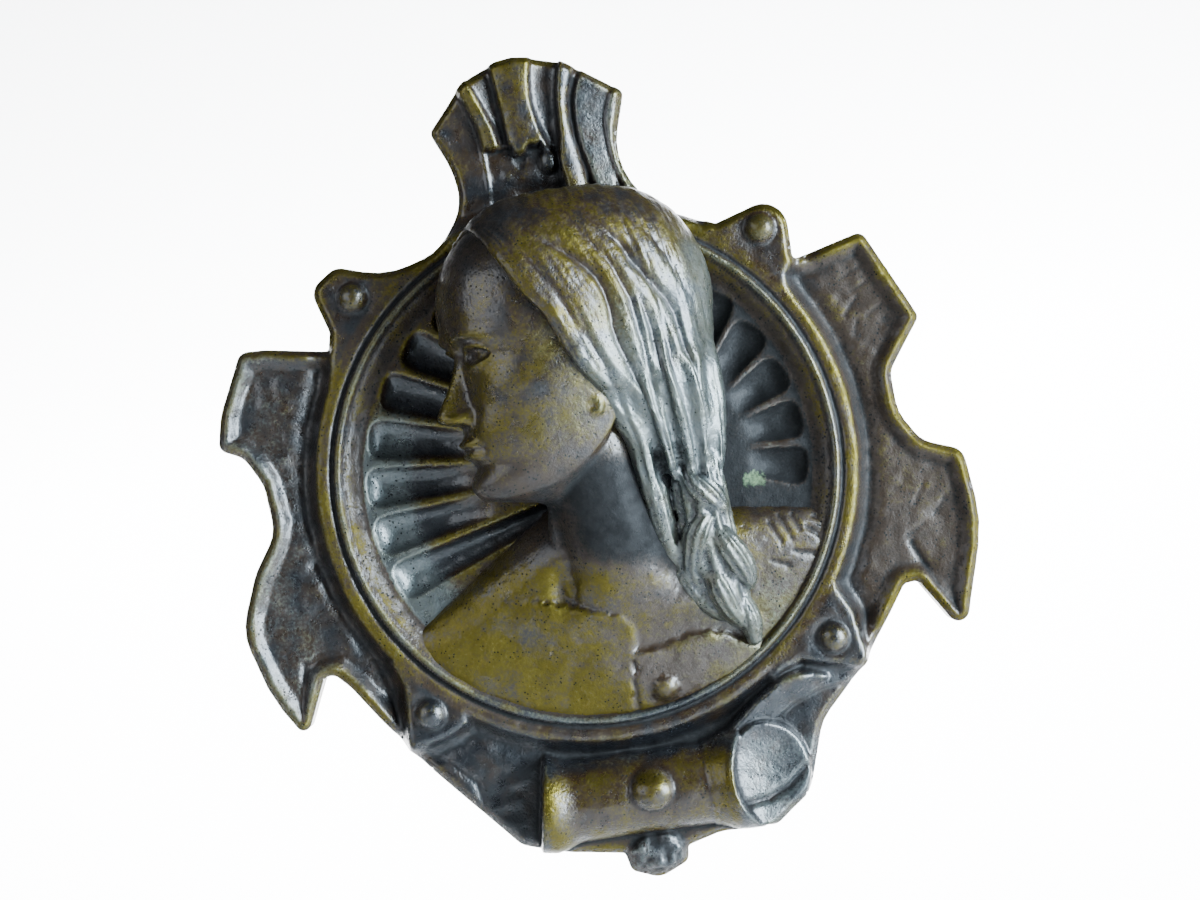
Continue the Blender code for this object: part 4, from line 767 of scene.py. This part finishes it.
def tube(name, centre, radii, sides, ridges):
    """A closed tube along points (across, up, height), with its half width across and half height at each."""
    rows = len(centre)
    bm = bmesh.new()
    bmesh.ops.create_grid(bm, x_segments=rows - 1, y_segments=sides, size=1.0)
    grid = np.array([vert.co for vert in bm.verts])
    row = np.round((grid[:, 0] + 1.0) / 2.0 * (rows - 1)).astype(int)
    turn = (grid[:, 1] + 1.0) * math.pi
    heading = np.gradient(centre, axis=0)[row]
    heading = heading / np.linalg.norm(heading[:, :2], axis=1, keepdims=True)
    swell = 1.0 + ridges * np.cos(11.0 * turn)
    middle = centre[row]
    wide, thick = radii[row, 0] * np.cos(turn) * swell, radii[row, 1] * np.sin(turn) * swell
    place_verts(bm, middle[:, 0] - heading[:, 1] * wide, middle[:, 1] + heading[:, 0] * wide, middle[:, 2] + thick)
    bmesh.ops.remove_doubles(bm, verts=bm.verts, dist=1e-6)
    bmesh.ops.holes_fill(bm, edges=bm.edges, sides=0)
    return filled(bm, name)


def eased(count, radii):
    """Half widths along a tube that close softly at both ends."""
    t = np.linspace(0.0, 1.0, count)
    ends = np.sqrt(np.clip(np.minimum(t, 1.0 - t) * 12.0, 0.02, 1.0))
    stops = np.linspace(0.0, 1.0, len(radii))
    return np.stack([curve(t, list(zip(stops, column))) * ends for column in np.array(radii, float).T], axis=1)


def strand(name, shape, rows, sides, ridges=0.0):
    """A tube along a smooth path, with eased ends."""
    line, radii = shape
    return tube(name, path(line, rows), eased(rows, radii), sides, ridges)


def raised_sheet(name, low, high, spacing, inside, trim, height_of, bottom):
    """A grid cut to a shape, raised to a relief, with upright walls down to a flat underside."""
    counts = np.ceil((np.array(high) - low) / spacing).astype(int)
    bm = bmesh.new()
    bmesh.ops.create_grid(bm, x_segments=int(counts[0]), y_segments=int(counts[1]), size=0.5)
    flat = np.array([vert.co for vert in bm.verts])
    u, v = ((flat[:, :2] + 0.5) * (np.array(high) - low) + low).T
    edge = inside(u, v)
    keep = edge >= -0.7 * spacing
    bmesh.ops.delete(bm, geom=[vert for vert, kept in zip(bm.verts, keep) if not kept], context="VERTS")
    u, v, edge = u[keep], v[keep], edge[keep]
    near = np.abs(edge) < 0.7 * spacing
    u[near], v[near] = trim(u[near], v[near])
    place_verts(bm, u, v, height_of(u, v))
    bmesh.ops.delete(bm, geom=[vert for vert in bm.verts if not vert.link_faces], context="VERTS")
    side_wall_shade = bmesh.ops.extrude_edge_only(bm, edges=[e for e in bm.edges if e.is_boundary])["geom"]
    for vert in side_wall_shade:
        if isinstance(vert, bmesh.types.BMVert):
            vert.co.y = -bottom * METRES
    bmesh.ops.holes_fill(bm, edges=[e for e in bm.edges if e.is_boundary], sides=0)
    return filled(bm, name)


# Short chisel strokes on the right upper wing and on the right shoulder
WING_STROKES = (((55.6, 21.6), (58.4, 24.8)), ((57.4, 25.8), (60.8, 27.4)), ((56.2, 29), (59.6, 30.4)),
                ((59.8, 20.6), (62.8, 22.2)), ((56.8, 17.2), (57.6, 20)), ((64.2, 27.4), (64.8, 31)),
                ((62.4, -18.4), (64.8, -14.6)), ((66.2, -21), (68.8, -18)), ((59.4, -24.8), (63.6, -22.6)))
SHOULDER_STROKES = (((32.4, -16.4), (34.2, -20.6)), ((34.6, -15.4), (36.4, -20.2)), ((37.2, -15.8), (38.4, -18.8)),
                    ((39.8, -18.6), (43.2, -21.8)), ((36.6, -22.8), (40.4, -24.2)), ((31.6, -23.8), (34.8, -25.4)),
                    ((41.6, -16.8), (44.2, -18.2)))


def cartouche():
    """The plate with its ring, ears, wings, fan, roll and fluted dish."""
    outline = rounded(CORNERS)
    low, high = outline.min(axis=0) - PLATE_GRID, outline.max(axis=0) + PLATE_GRID

    def height_of(u, v):
        edge = np.maximum(inside_distance(u, v, outline), 0.0)
        on_wing = smooth(48.0, 54.0, np.abs(u))
        worked = (0.16 + 0.2 * on_wing) * lumps(u, v, 5.5, 1.0)
        worked = worked + (0.12 + 0.1 * on_wing) * lumps(u, v, 2.0, 2.0)
        for stroke in WING_STROKES:
            worked = worked - 0.2 * line_bump(u, v, stroke, 0.5)
        return np.maximum(plate(u, v, edge) + worked, 1.5)

    piece = raised_sheet("cartouche", low, high, PLATE_GRID, lambda u, v: inside_distance(u, v, outline),
                         lambda u, v: nearest_on(u, v, outline), height_of, 0.0)
    piece.data.transform(Matrix.Diagonal((SIDES_IN, 1.0, SIDES_IN, 1.0)))
    return piece


def changed(piece, kind, **settings):
    """Gives a piece one modifier and carries it out."""
    modifier = piece.modifiers.new(kind.title(), kind)
    for key, value in settings.items():
        setattr(modifier, key, value)
    bpy.context.view_layer.update()
    mesh = bpy.data.meshes.new_from_object(piece.evaluated_get(bpy.context.evaluated_depsgraph_get()))
    piece.modifiers.clear()
    piece.data = mesh


def melt(pieces, name, grain, rounds):
    """One closed skin round all the pieces, cut flat just inside the plate."""
    bm = bmesh.new()
    for piece in pieces:
        bm.from_mesh(piece.data)
        bpy.data.objects.remove(piece)
    block = new_piece(name)
    bm.to_mesh(block.data)
    bm.free()
    changed(block, "REMESH", mode="VOXEL", voxel_size=grain * METRES)
    changed(block, "SMOOTH", factor=0.5, iterations=rounds)
    bm = bmesh.new()
    bm.from_mesh(block.data)
    everything = list(bm.verts) + list(bm.edges) + list(bm.faces)
    bmesh.ops.bisect_plane(bm, geom=everything, dist=1e-7, plane_co=(0.0, -SUNK_BACK * METRES, 0.0),
                           plane_no=(0.0, 1.0, 0.0), clear_outer=True)
    bmesh.ops.holes_fill(bm, edges=[e for e in bm.edges if e.is_boundary], sides=0)
    bm.to_mesh(block.data)
    bm.free()
    return block


def read_points(mesh, what="co"):
    values = np.empty(len(mesh.vertices) * 3)
    mesh.vertices.foreach_get(what, values)
    return values.reshape(-1, 3)


def places(mesh):
    """Every point of a mesh as (across, up, height)."""
    x, y, z = read_points(mesh).T / METRES
    return x, z, -y


def move_points(mesh, points):
    mesh.vertices.foreach_set("co", points.ravel())
    mesh.update()


def relaxed(mesh, rounds):
    """The points of a mesh after so many rounds of moving each to the middle of its neighbours."""
    points = read_points(mesh)
    count = len(points)
    edges = np.empty(len(mesh.edges) * 2, dtype=np.int64)
    mesh.edges.foreach_get("vertices", edges)
    a, b = edges.reshape(-1, 2).T
    neighbours = np.maximum(np.bincount(a, minlength=count) + np.bincount(b, minlength=count), 1)
    for _ in range(rounds):
        points = np.stack([(np.bincount(a, points[b, k], count) + np.bincount(b, points[a, k], count)) / neighbours
                           for k in range(3)], axis=1)
    return points


def work_skin(piece, carve):
    """Moves every point of a piece along its normal by carve(u, v, height) millimetres."""
    mesh = piece.data
    u, v, height = places(mesh)
    push = np.where(height > SUNK_BACK + 0.3, carve(u, v, height), 0.0)
    move_points(mesh, read_points(mesh) + read_points(mesh, "normal") * push[:, None] * METRES)


def bust():
    """Head, neck and chest in one skin."""
    low = np.array((-50.4, -50.4))
    high = np.array((48.6, -3.0))
    chest_block = raised_sheet(
        "chest", low, high, CHEST_GRID, chest_reach, lambda u, v: (u, v),
        lambda u, v: np.maximum(chest(u, v), 1.0), -2.0)
    parts = [chest_block, ball("head", head_radius, 260, 300), strand("neck", NECK, 40, 60)]
    parts += [strand("neck_muscle", muscle, 30, 20) for muscle in NECK_MUSCLES]
    parts += [strand("nape_side", NAPE_SIDE, 30, 40), egg("ear_lobe", EAR_LOBE, EAR_LOBE_HALF)]
    piece = melt(parts, "bust", BUST_GRAIN, 4)

    def carve(u, v, height):
        rough = np.where(v < -16.0, 1.0, 0.35)
        dimple = -0.7 * bump(np.hypot(u - 2.5, v - 12.2), 0.8) * (height > 24.0)
        strokes = [0.4 * line_bump(u, v, stroke, 0.5) for stroke in SHOULDER_STROKES]
        worked = 0.16 * lumps(u, v, 4.2, 6.0, height) + 0.09 * lumps(u, v, 1.5, 7.0, height)
        return rough * worked + dimple - sum(strokes)

    work_skin(piece, carve)
    return piece


def hair():
    """The combed hair, its locks and the braid in one skin."""
    parts = [ball("hair_cap", hair_radius, 200, 240, hair_lift), strand("nape", NAPE, 40, 60)]
    parts += [strand("lock", lock, 60, 56, 0.04) for lock in LOCKS]
    parts += [strand("braid_turn", turn, 40, 56, 0.1) for turn in BRAID]
    piece = melt(parts, "hair", HAIR_GRAIN, 2)
    points = read_points(piece.data)
    height = -points[:, 1:2] / METRES
    joined = smooth(-1.0, 4.0, points[:, 2:] / METRES) * smooth(SUNK_BACK + 1.0, SUNK_BACK + 3.0, height)
    move_points(piece.data, points + (relaxed(piece.data, 24) - points) * joined)

    def carve(u, v, height):
        worked = 0.05 * lumps(u, v, 2.4, 8.0, height) + 0.06 * lumps(u, v, 0.9, 9.0, height)
        return worked - combed(u, v) * smooth(-9.0, -2.0, v)

    work_skin(piece, carve)
    return piece


def stand_out(mesh, rounds):
    """How far each point stands above its smoothed surroundings along its normal, in millimetres."""
    return ((read_points(mesh) - relaxed(mesh, rounds)) * read_points(mesh, "normal")).sum(axis=1) / METRES


def paint(piece, tones):
    """Gives each point its share of worn gold, warm brown, dark dirt with painted shade, a painted cool sheen, dull
    skin and green.
    """
    mesh = piece.data
    u, v, height = places(mesh)
    crisp = np.clip(stand_out(mesh, 3), -0.3, 0.2)
    proud = np.clip(stand_out(mesh, 40), -1.5, 1.0)
    patches = lumps(u, v, 7.0, 11.0, height) + 0.6 * lumps(u, v, 2.6, 12.0, height)
    # Painted shade: the upright side walls near the back are made darker and less gold.
    side_wall_shade = smooth(0.6, 0.95, np.hypot(*read_points(mesh, "normal")[:, (0, 2)].T)) * (height < 6.0)
    at_back = fade(0.5, 2.5, height)
    worn, brown, grime, pale, dull = tones(u, v, height)
    worn, brown, grime = (tone + (plain - tone) * at_back
                          for tone, plain in ((worn, 0.08), (brown, 0.5), (grime, 0.3)))
    worn = worn + 1.2 * crisp + 0.12 * proud + 0.12 * patches - 0.3 * side_wall_shade
    grime = grime - 1.6 * crisp - 0.25 * proud - 0.12 * patches + 0.3 * side_wall_shade
    green = 0.9 * bump(oval(u, v, VERDIGRIS, (1.5, 1.0)), 2.2) * (height < 12.0)
    # The cool sheen share is a painted reflection of the window, and a painted highlight along crisp edges.
    shares = {"worn": worn * (1.0 - 0.6 * np.clip(grime, 0.0, 1.0)), "brown": brown + 0.2 * patches, "grime": grime,
              "pale": pale - at_back + 1.5 * crisp + 0.15 * patches, "dull": dull + 0.15 * patches + 0.4 * at_back,
              "verdigris": green + 0.3 * patches - 0.1}
    for name, values in shares.items():
        layer = mesh.attributes.new(name, "FLOAT", "POINT")
        layer.data.foreach_set("value", np.clip(values, 0.0, 1.0).astype(np.float32))


def plate_tones(u, v, height):
    """Olive gold on the dish's slope and the ring, blue-black in flutes and wings, brown on the right."""
    radius = medallion_radius(u, v)
    edge = inside_distance(u, v, rounded(CORNERS))
    slope = smooth(43.6, 45.2, radius) * fade(48.2, 49.2, radius)
    band = smooth(50.6, 51.4, radius) * fade(53.4, 54.4, radius)
    dished = fade(44.4, 45.4, radius)
    fluted = smooth(0.3, 1.6, flutes(u, v)) * dished
    on_roll = fade(-60.0, -56.5, v) * fade(15.0, 17.5, u) * smooth(-23.0, -20.5, u)
    right = smooth(45.0, 56.0, u)
    behind = dished * smooth(-6.0, 14.0, u + 0.6 * v)
    ridges = dished * (1.0 - fluted)
    low = fade(-50.0, -40.0, v)
    on_foot = fade(0.9, 1.1, oval(u, v, FOOT, FOOT_RADII))
    # The flares' extra gold is partly wear and partly a painted highlight.
    flare_wear_and_highlight = on_roll * (fade(-18.5, -14.5, u) + smooth(10.5, 13.0, u))
    left_ring = smooth(48.2, 49.0, radius) * fade(54.0, 55.0, radius) * fade(-30.0, -10.0, u)
    worn = 0.2 + 0.2 * slope + 0.16 * band + 0.12 * ridges - 0.2 * fluted - 0.3 * behind
    worn = worn - 0.22 * low * (1.0 - on_roll) - 0.4 * on_foot + 0.2 * flare_wear_and_highlight + 0.04 * right * (1.0 - low)
    worn = worn + 0.14 * on_roll + 0.12 * fan_share(u, v) * smooth(8.0, 10.0, height) * fade(3.0, 5.0, u)
    brown = 0.5 + 0.5 * right - 0.4 * fluted + 0.35 * on_roll + 0.4 * slope + 0.4 * band + 0.35 * ridges
    brown = brown + 0.4 * fade(0.8, 2.4, edge) - 0.3 * low * (1.0 - on_roll) - 0.5 * on_foot
    # The last term of the dark layer below is painted shadow on the bottom left, beside the roll's left end.
    grime = 0.12 - 0.04 * fluted + 0.35 * bump(radius - BEAD_RADIUS - 1.3, 0.7) + 0.75 * behind
    grime = grime + 0.15 * slope + 0.22 * right + 0.1 * on_roll + 0.25 * on_foot + 0.1 * low * fade(-24.0, -21.0, u)
    # A painted cool sheen stands in for the window's reflection: on the left flutes' outer ends, the foot, the fan's
    # right, the bead, the roll's right end and the left wings.
    sheen = smooth(31.0, 40.0, radius) * fade(-16.0, -6.0, u) * fade(8.0, 26.0, v)
    pale = 0.3 * on_foot + 1.05 * dished * sheen
    pale = pale + 0.4 * fan_share(u, v) * smooth(8.0, 11.0, u) + 0.15 * crown(radius - BEAD_RADIUS, 1.2)
    pale = pale + 0.4 * smooth(14.0, 20.0, u) * fade(-60.0, -56.0, v + 0.2 * (u - 24.0))
    pale = pale + 0.3 * fade(-64.0, -50.0, u) - 0.3 * fade(0.6, 2.0, edge) - 0.2 * slope
    rim = fade(2.5, 4.5, edge) * fade(-52.0, -47.0, u)
    dull = 0.9 * slope + 0.4 * rim + 0.7 * right + 0.3 * behind + 0.5 * left_ring
    return worn, brown, grime, pale, dull


def bust_tones(u, v, height):
    """Olive on the left of the chest and the cheeks, brown on its right, painted shade on the neck, and a painted
    cool sheen on the cheek, jaw and right of the chest.
    """
    on_chest = fade(-24.0, -12.0, v + 0.25 * u)
    left = fade(-8.0, 10.0, u)
    # Painted shade: the neck, which lies in the hair's shadow, is made darker, less gold and duller.
    neck_shade = (1.0 - on_chest) * fade(-4.0, 8.0, v) * fade(18.0, 26.0, u)
    shoulder = fade(-12.0, -8.0, v) * smooth(26.0, 31.0, u)
    worn = 0.34 + 0.24 * on_chest * left + 0.06 * on_chest * (1.0 - left) - 0.3 * neck_shade - 0.04 * shoulder
    worn = worn + 0.12 * smooth(6.0, 12.0, v) * fade(24.0, 32.0, v)
    brown = 0.7 + 0.1 * on_chest * (1.0 - left) - 0.15 * neck_shade
    grime = 0.06 + 0.75 * neck_shade * smooth(-8.0, 0.0, u) + 0.4 * neck_shade + 0.3 * shoulder
    # A painted cool sheen on the cheek and jaw and on the right of the chest.
    pale = 0.25 * smooth(2.0, 10.0, v) * smooth(-14.0, 0.0, u) + 0.25 * on_chest * smooth(6.0, 22.0, u)
    middle = on_chest * bump(oval(u, v, (6.0, -38.0), (1.6, 1.0)), 9.0)
    far = smooth(38.0, 45.0, v) * fade(-16.0, -8.0, u)
    worn, brown, grime = worn - 0.22 * middle, brown + 0.3 * middle, grime + 0.5 * far
    return worn, brown, grime, pale, 0.8 * neck_shade + 0.7 * shoulder + 0.2 * on_chest + 1.2 * far


def hair_tones(u, v, height):
    """Brown and olive on the top, with a painted cool sheen where the hair turns down and along the braid."""
    on_top = smooth(20.0, 42.0, v - 0.7 * u + 8.0)
    on_braid = fade(-8.0, -2.0, v)
    pale = (0.62 + 0.6 * fade(8.0, 20.0, v)) * (1.0 - on_top) - 0.6 * on_braid
    far = smooth(42.0, 47.0, v) * fade(-10.0, -2.0, u)
    return 0.42 - 0.06 * on_top, 0.35 + 0.3 * on_top, 0.12 * on_top + 0.4 * far, pale, 0.3 * on_top + 1.2 * far


def linear(code):
    """The linear colour of an sRGB hex code."""
    parts = [int(code[i:i + 2], 16) / 255.0 for i in (1, 3, 5)]
    return tuple(c / 12.92 if c <= 0.04045 else ((c + 0.055) / 1.055) ** 2.4 for c in parts) + (1.0,)


def add_node(tree, kind, inputs, out=0, **settings):
    """Adds a node, makes its settings, sets or links its inputs, and gives one of its outputs."""
    made = tree.nodes.new("ShaderNode" + kind)
    for key, value in settings.items():
        setattr(made, key, value)
    for key, value in inputs.items():
        if isinstance(value, bpy.types.NodeSocket):
            tree.links.new(value, made.inputs[key])
        else:
            made.inputs[key].default_value = linear(value) if isinstance(value, str) else value
    return made.outputs[out]


def per_metre(size):
    """A pattern's scale from the size of its features in millimetres."""
    return 1.0 / (size * METRES)


def patinated_bronze():
    """Sand-cast bronze under an old waxed patina.

    The skin is pitted like the sand it was cast in. The patina is nearly black in the hollows and glossy, so that it
    mirrors a window as a cool grey, helped by a cool grey sheen painted into its colour; where hands have rubbed it
    off, the metal shows olive gold.
    """
    material = bpy.data.materials.new("patinated_bronze")
    material.use_nodes = True
    tree = material.node_tree
    shader = tree.nodes["Principled BSDF"]
    add = partial(add_node, tree)
    place = add("TexCoord", {}, "Object")

    # The grains in the skin and the patina, each with its size in millimetres, detail and roughness
    grains = {}
    for name, size, detail, roughness in (
            ("speckle", 0.65, 3.0, 0.55), ("cloud", 4.0, 3.0, 0.55), ("pore clusters", 2.1, 3.0, 0.55),
            ("polish", 2.2, 3.0, 0.55), ("hammering", 2.2, 2.0, 0.55), ("sand", 0.5, 3.0, 0.65)):
        grains[name] = add("TexNoise", {"Vector": place, "Scale": per_metre(size), "Detail": detail,
                                        "Roughness": roughness})
    speckle, cloud = (add("Math", {0: grains[name], 1: 0.5}, operation="SUBTRACT") for name in ("speckle", "cloud"))

    # The pores lie in clusters
    cells = add("TexVoronoi", {"Vector": place, "Scale": per_metre(0.8), "Randomness": 1.0})
    in_cluster, in_cell = (
        add("MapRange", {"Value": value, "From Min": low, "From Max": high}, interpolation_type="SMOOTHSTEP")
        for value, low, high in ((grains["pore clusters"], 0.45, 0.6), (cells, 0.34, 0.12)))
    pore = add("Math", {0: in_cluster, 1: in_cell}, operation="MULTIPLY")

    # What is added to each painted share, and how much of it
    share = {}
    for name, *added in (("worn", (speckle, 0.75), (cloud, 0.6)), ("brown", (cloud, 1.2)), ("pale", (speckle, 1.2)),
                         ("grime", (speckle, 0.6), (pore, 1.0)), ("verdigris", (speckle, 1.0)), ("dull",)):
        share[name] = add("Attribute", {}, "Fac", attribute_name=name)
        for pattern, weight in added:
            share[name] = add("Math", {0: pattern, 1: weight, 2: share[name]}, operation="MULTIPLY_ADD")

    # The patina's layers over the black: where each begins and is full, how much it covers, and its colour.
    # The cool grey layer is a painted sheen, and the near-black layer is dirt in places and painted shade in others.
    colour, cover = "#16181b", {}
    for name, source, low, high, most, tint in (
            ("brown", "brown", 0.1, 0.8, 1.0, "#2b1d0e"), ("worn", "worn", 0.22, 0.72, 1.0, "#574d15"),
            # The brightest gold is wear on the most rubbed ridges and partly a painted highlight there.
            ("brightest_wear_and_highlight", "worn", 0.7, 1.2, 1.0, "#80743a"), ("pale", "pale", 0.15, 0.95, 0.75, "#626968"),
            ("grime", "grime", 0.2, 0.9, 1.0, "#08090a"), ("verdigris", "verdigris", 0.3, 0.8, 0.7, "#6f8a62")):
        cover[name] = add("MapRange", {"Value": share[source], "From Min": low, "From Max": high, "To Max": most},
                          interpolation_type="SMOOTHSTEP")
        colour = add("Mix", {0: cover[name], 6: colour, 7: tint}, 2, data_type="RGBA")

    # Rubbed places and the painted sheen are more metallic; dark dirt, painted shade and dull skin are rougher and
    # have lost the wax
    rubbed_and_sheen = add("Math", {0: cover["worn"], 1: cover["pale"]}, operation="MAXIMUM")
    bare = add("Math", {0: cover["worn"], 1: 0.55}, operation="MULTIPLY")
    bare = add("Math", {0: cover["grime"], 1: bare}, operation="MAXIMUM")
    bare = add("Math", {0: share["dull"], 1: 0.5, 2: bare}, operation="MULTIPLY_ADD")
    metallic, rough, waxed = (
        add("MapRange", {"Value": value, "From Min": low, "From Max": high, "To Min": start, "To Max": end},
            interpolation_type="SMOOTHSTEP")
        for value, low, high, start, end in ((rubbed_and_sheen, 0.0, 1.0, 0.3, 0.85), (grains["polish"], 0.3, 0.7, 0.24, 0.4),
                                             (bare, 0.0, 0.8, 0.75, 0.03)))
    for value in (cover["grime"], share["dull"]):
        rough = add("Math", {0: value, 1: 0.3, 2: rough}, operation="MULTIPLY_ADD")

    worked = add("Bump", {"Height": grains["hammering"], "Strength": 0.5, "Distance": 0.00025})
    pitted = add("Bump", {"Height": pore, "Strength": 0.35, "Distance": 0.0001, "Normal": worked}, invert=True)
    skin, wax = (add("Bump", {"Height": grains["sand"], "Strength": strength, "Distance": depth, "Normal": pitted})
                 for strength, depth in ((1.0, 0.00014), (0.5, 0.00008)))
    for name, value in (("Base Color", colour), ("Metallic", metallic), ("Roughness", rough), ("Coat Weight", waxed),
                        ("Normal", skin), ("Coat Normal", wax)):
        tree.links.new(value, shader.inputs[name])
    shader.inputs["Coat Roughness"].default_value = 0.16
    return material


bronze = patinated_bronze()
for make, tones in ((cartouche, plate_tones), (bust, bust_tones), (hair, hair_tones)):
    piece = make()
    piece.data.shade_smooth()
    for face in piece.data.polygons:
        face.use_smooth = face.normal.y < 0.999 and abs(face.normal.y) > 1e-4
    piece.data.materials.clear()
    piece.data.materials.append(bronze)
    paint(piece, tones)
    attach(piece, "root")
    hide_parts("relief_plaque")
    print(piece.name, sum(len(face.vertices) - 2 for face in piece.data.polygons), "triangles")


def stage_material(name, colour, roughness):
    material = bpy.data.materials.new(name)
    material.use_nodes = True
    shader = material.node_tree.nodes["Principled BSDF"]
    shader.inputs["Base Color"].default_value = (*colour, 1.0)
    shader.inputs["Roughness"].default_value = roughness
    return material


def studio():
    """An off-white floor that sweeps up into an off-white wall, well behind the plaque."""
    bm = bmesh.new()
    profile = [(-1.6, -0.45), (0.9, -0.45)]
    profile += [(0.9 + 0.5 * math.sin(a), 0.05 - 0.5 * math.cos(a)) for a in np.linspace(0.1, math.pi / 2, 12)]
    profile += [(1.4, 0.62)]
    verts = [bm.verts.new((-2.2, y, z)) for y, z in profile]
    edges = [bm.edges.new(pair) for pair in zip(verts[:-1], verts[1:])]
    swept = bmesh.ops.extrude_edge_only(bm, edges=edges)["geom"]
    bmesh.ops.translate(bm, verts=[v for v in swept if isinstance(v, bmesh.types.BMVert)], vec=(4.4, 0.0, 0.0))
    sweep = filled(bm, "studio_sweep")
    sweep.data.shade_smooth()
    sweep.data.materials.append(stage_material("pale_paper", (0.86, 0.86, 0.86), 0.9))


def panel_light(name, place, aim, size, watts, colour):
    light = bpy.data.lights.new(name, "AREA")
    light.shape = "RECTANGLE"
    light.size, light.size_y = size
    light.energy = watts
    light.color = colour
    lamp = bpy.data.objects.new(name, light)
    lamp.location = place
    lamp.rotation_euler = (Vector(aim) - Vector(place)).to_track_quat("-Z", "Y").to_euler()
    bpy.context.scene.collection.objects.link(lamp)


def lights():
    """A tall cool window on the right, a weaker pane on the upper left, and the wall's own light."""
    panel_light("window", (1.25, -0.76, -0.02), (0.0, 0.0, 0.0), (0.8, 1.3), 155.0, (0.72, 0.87, 1.0))
    panel_light("far_pane", (-0.9, -0.8, 0.35), (0.0, 0.0, 0.0), (1.0, 1.0), 9.0, (0.85, 0.92, 1.0))
    panel_light("wall_light", (0.0, 0.8, -0.42), (0.0, 1.4, 0.25), (2.2, 0.2), 340.0, (1.0, 1.0, 1.0))
    world = bpy.data.worlds.new("studio")
    bpy.context.scene.world = world
    world.use_nodes = True
    world.node_tree.nodes["Background"].inputs["Color"].default_value = (0.5, 0.58, 0.68, 1.0)
    world.node_tree.nodes["Background"].inputs["Strength"].default_value = 0.15


def camera():
    """Head-on, turned so that the plaque leans a little to the left in the picture."""
    data = bpy.data.cameras.new("camera")
    eye = bpy.data.objects.new("camera", data)
    bpy.context.scene.collection.objects.link(eye)
    data.sensor_width = SENSOR_WIDTH
    data.lens = SENSOR_WIDTH * (CAMERA_DISTANCE - FIELD_HEIGHT_ABOVE_BACK) / FIELD_WIDTH
    data.clip_start, data.clip_end = 0.01, 20.0
    lean = math.radians(LEAN)
    right = Vector((math.cos(lean), 0.0, -math.sin(lean)))
    up = Vector((math.sin(lean), 0.0, math.cos(lean)))
    turn = Matrix((right, up, right.cross(up))).transposed()
    spot = Vector((CAMERA_AIM[0], -CAMERA_DISTANCE, CAMERA_AIM[1])) * METRES
    eye.matrix_world = Matrix.Translation(spot) @ turn.to_4x4()
    bpy.context.scene.camera = eye


studio()
lights()
camera()
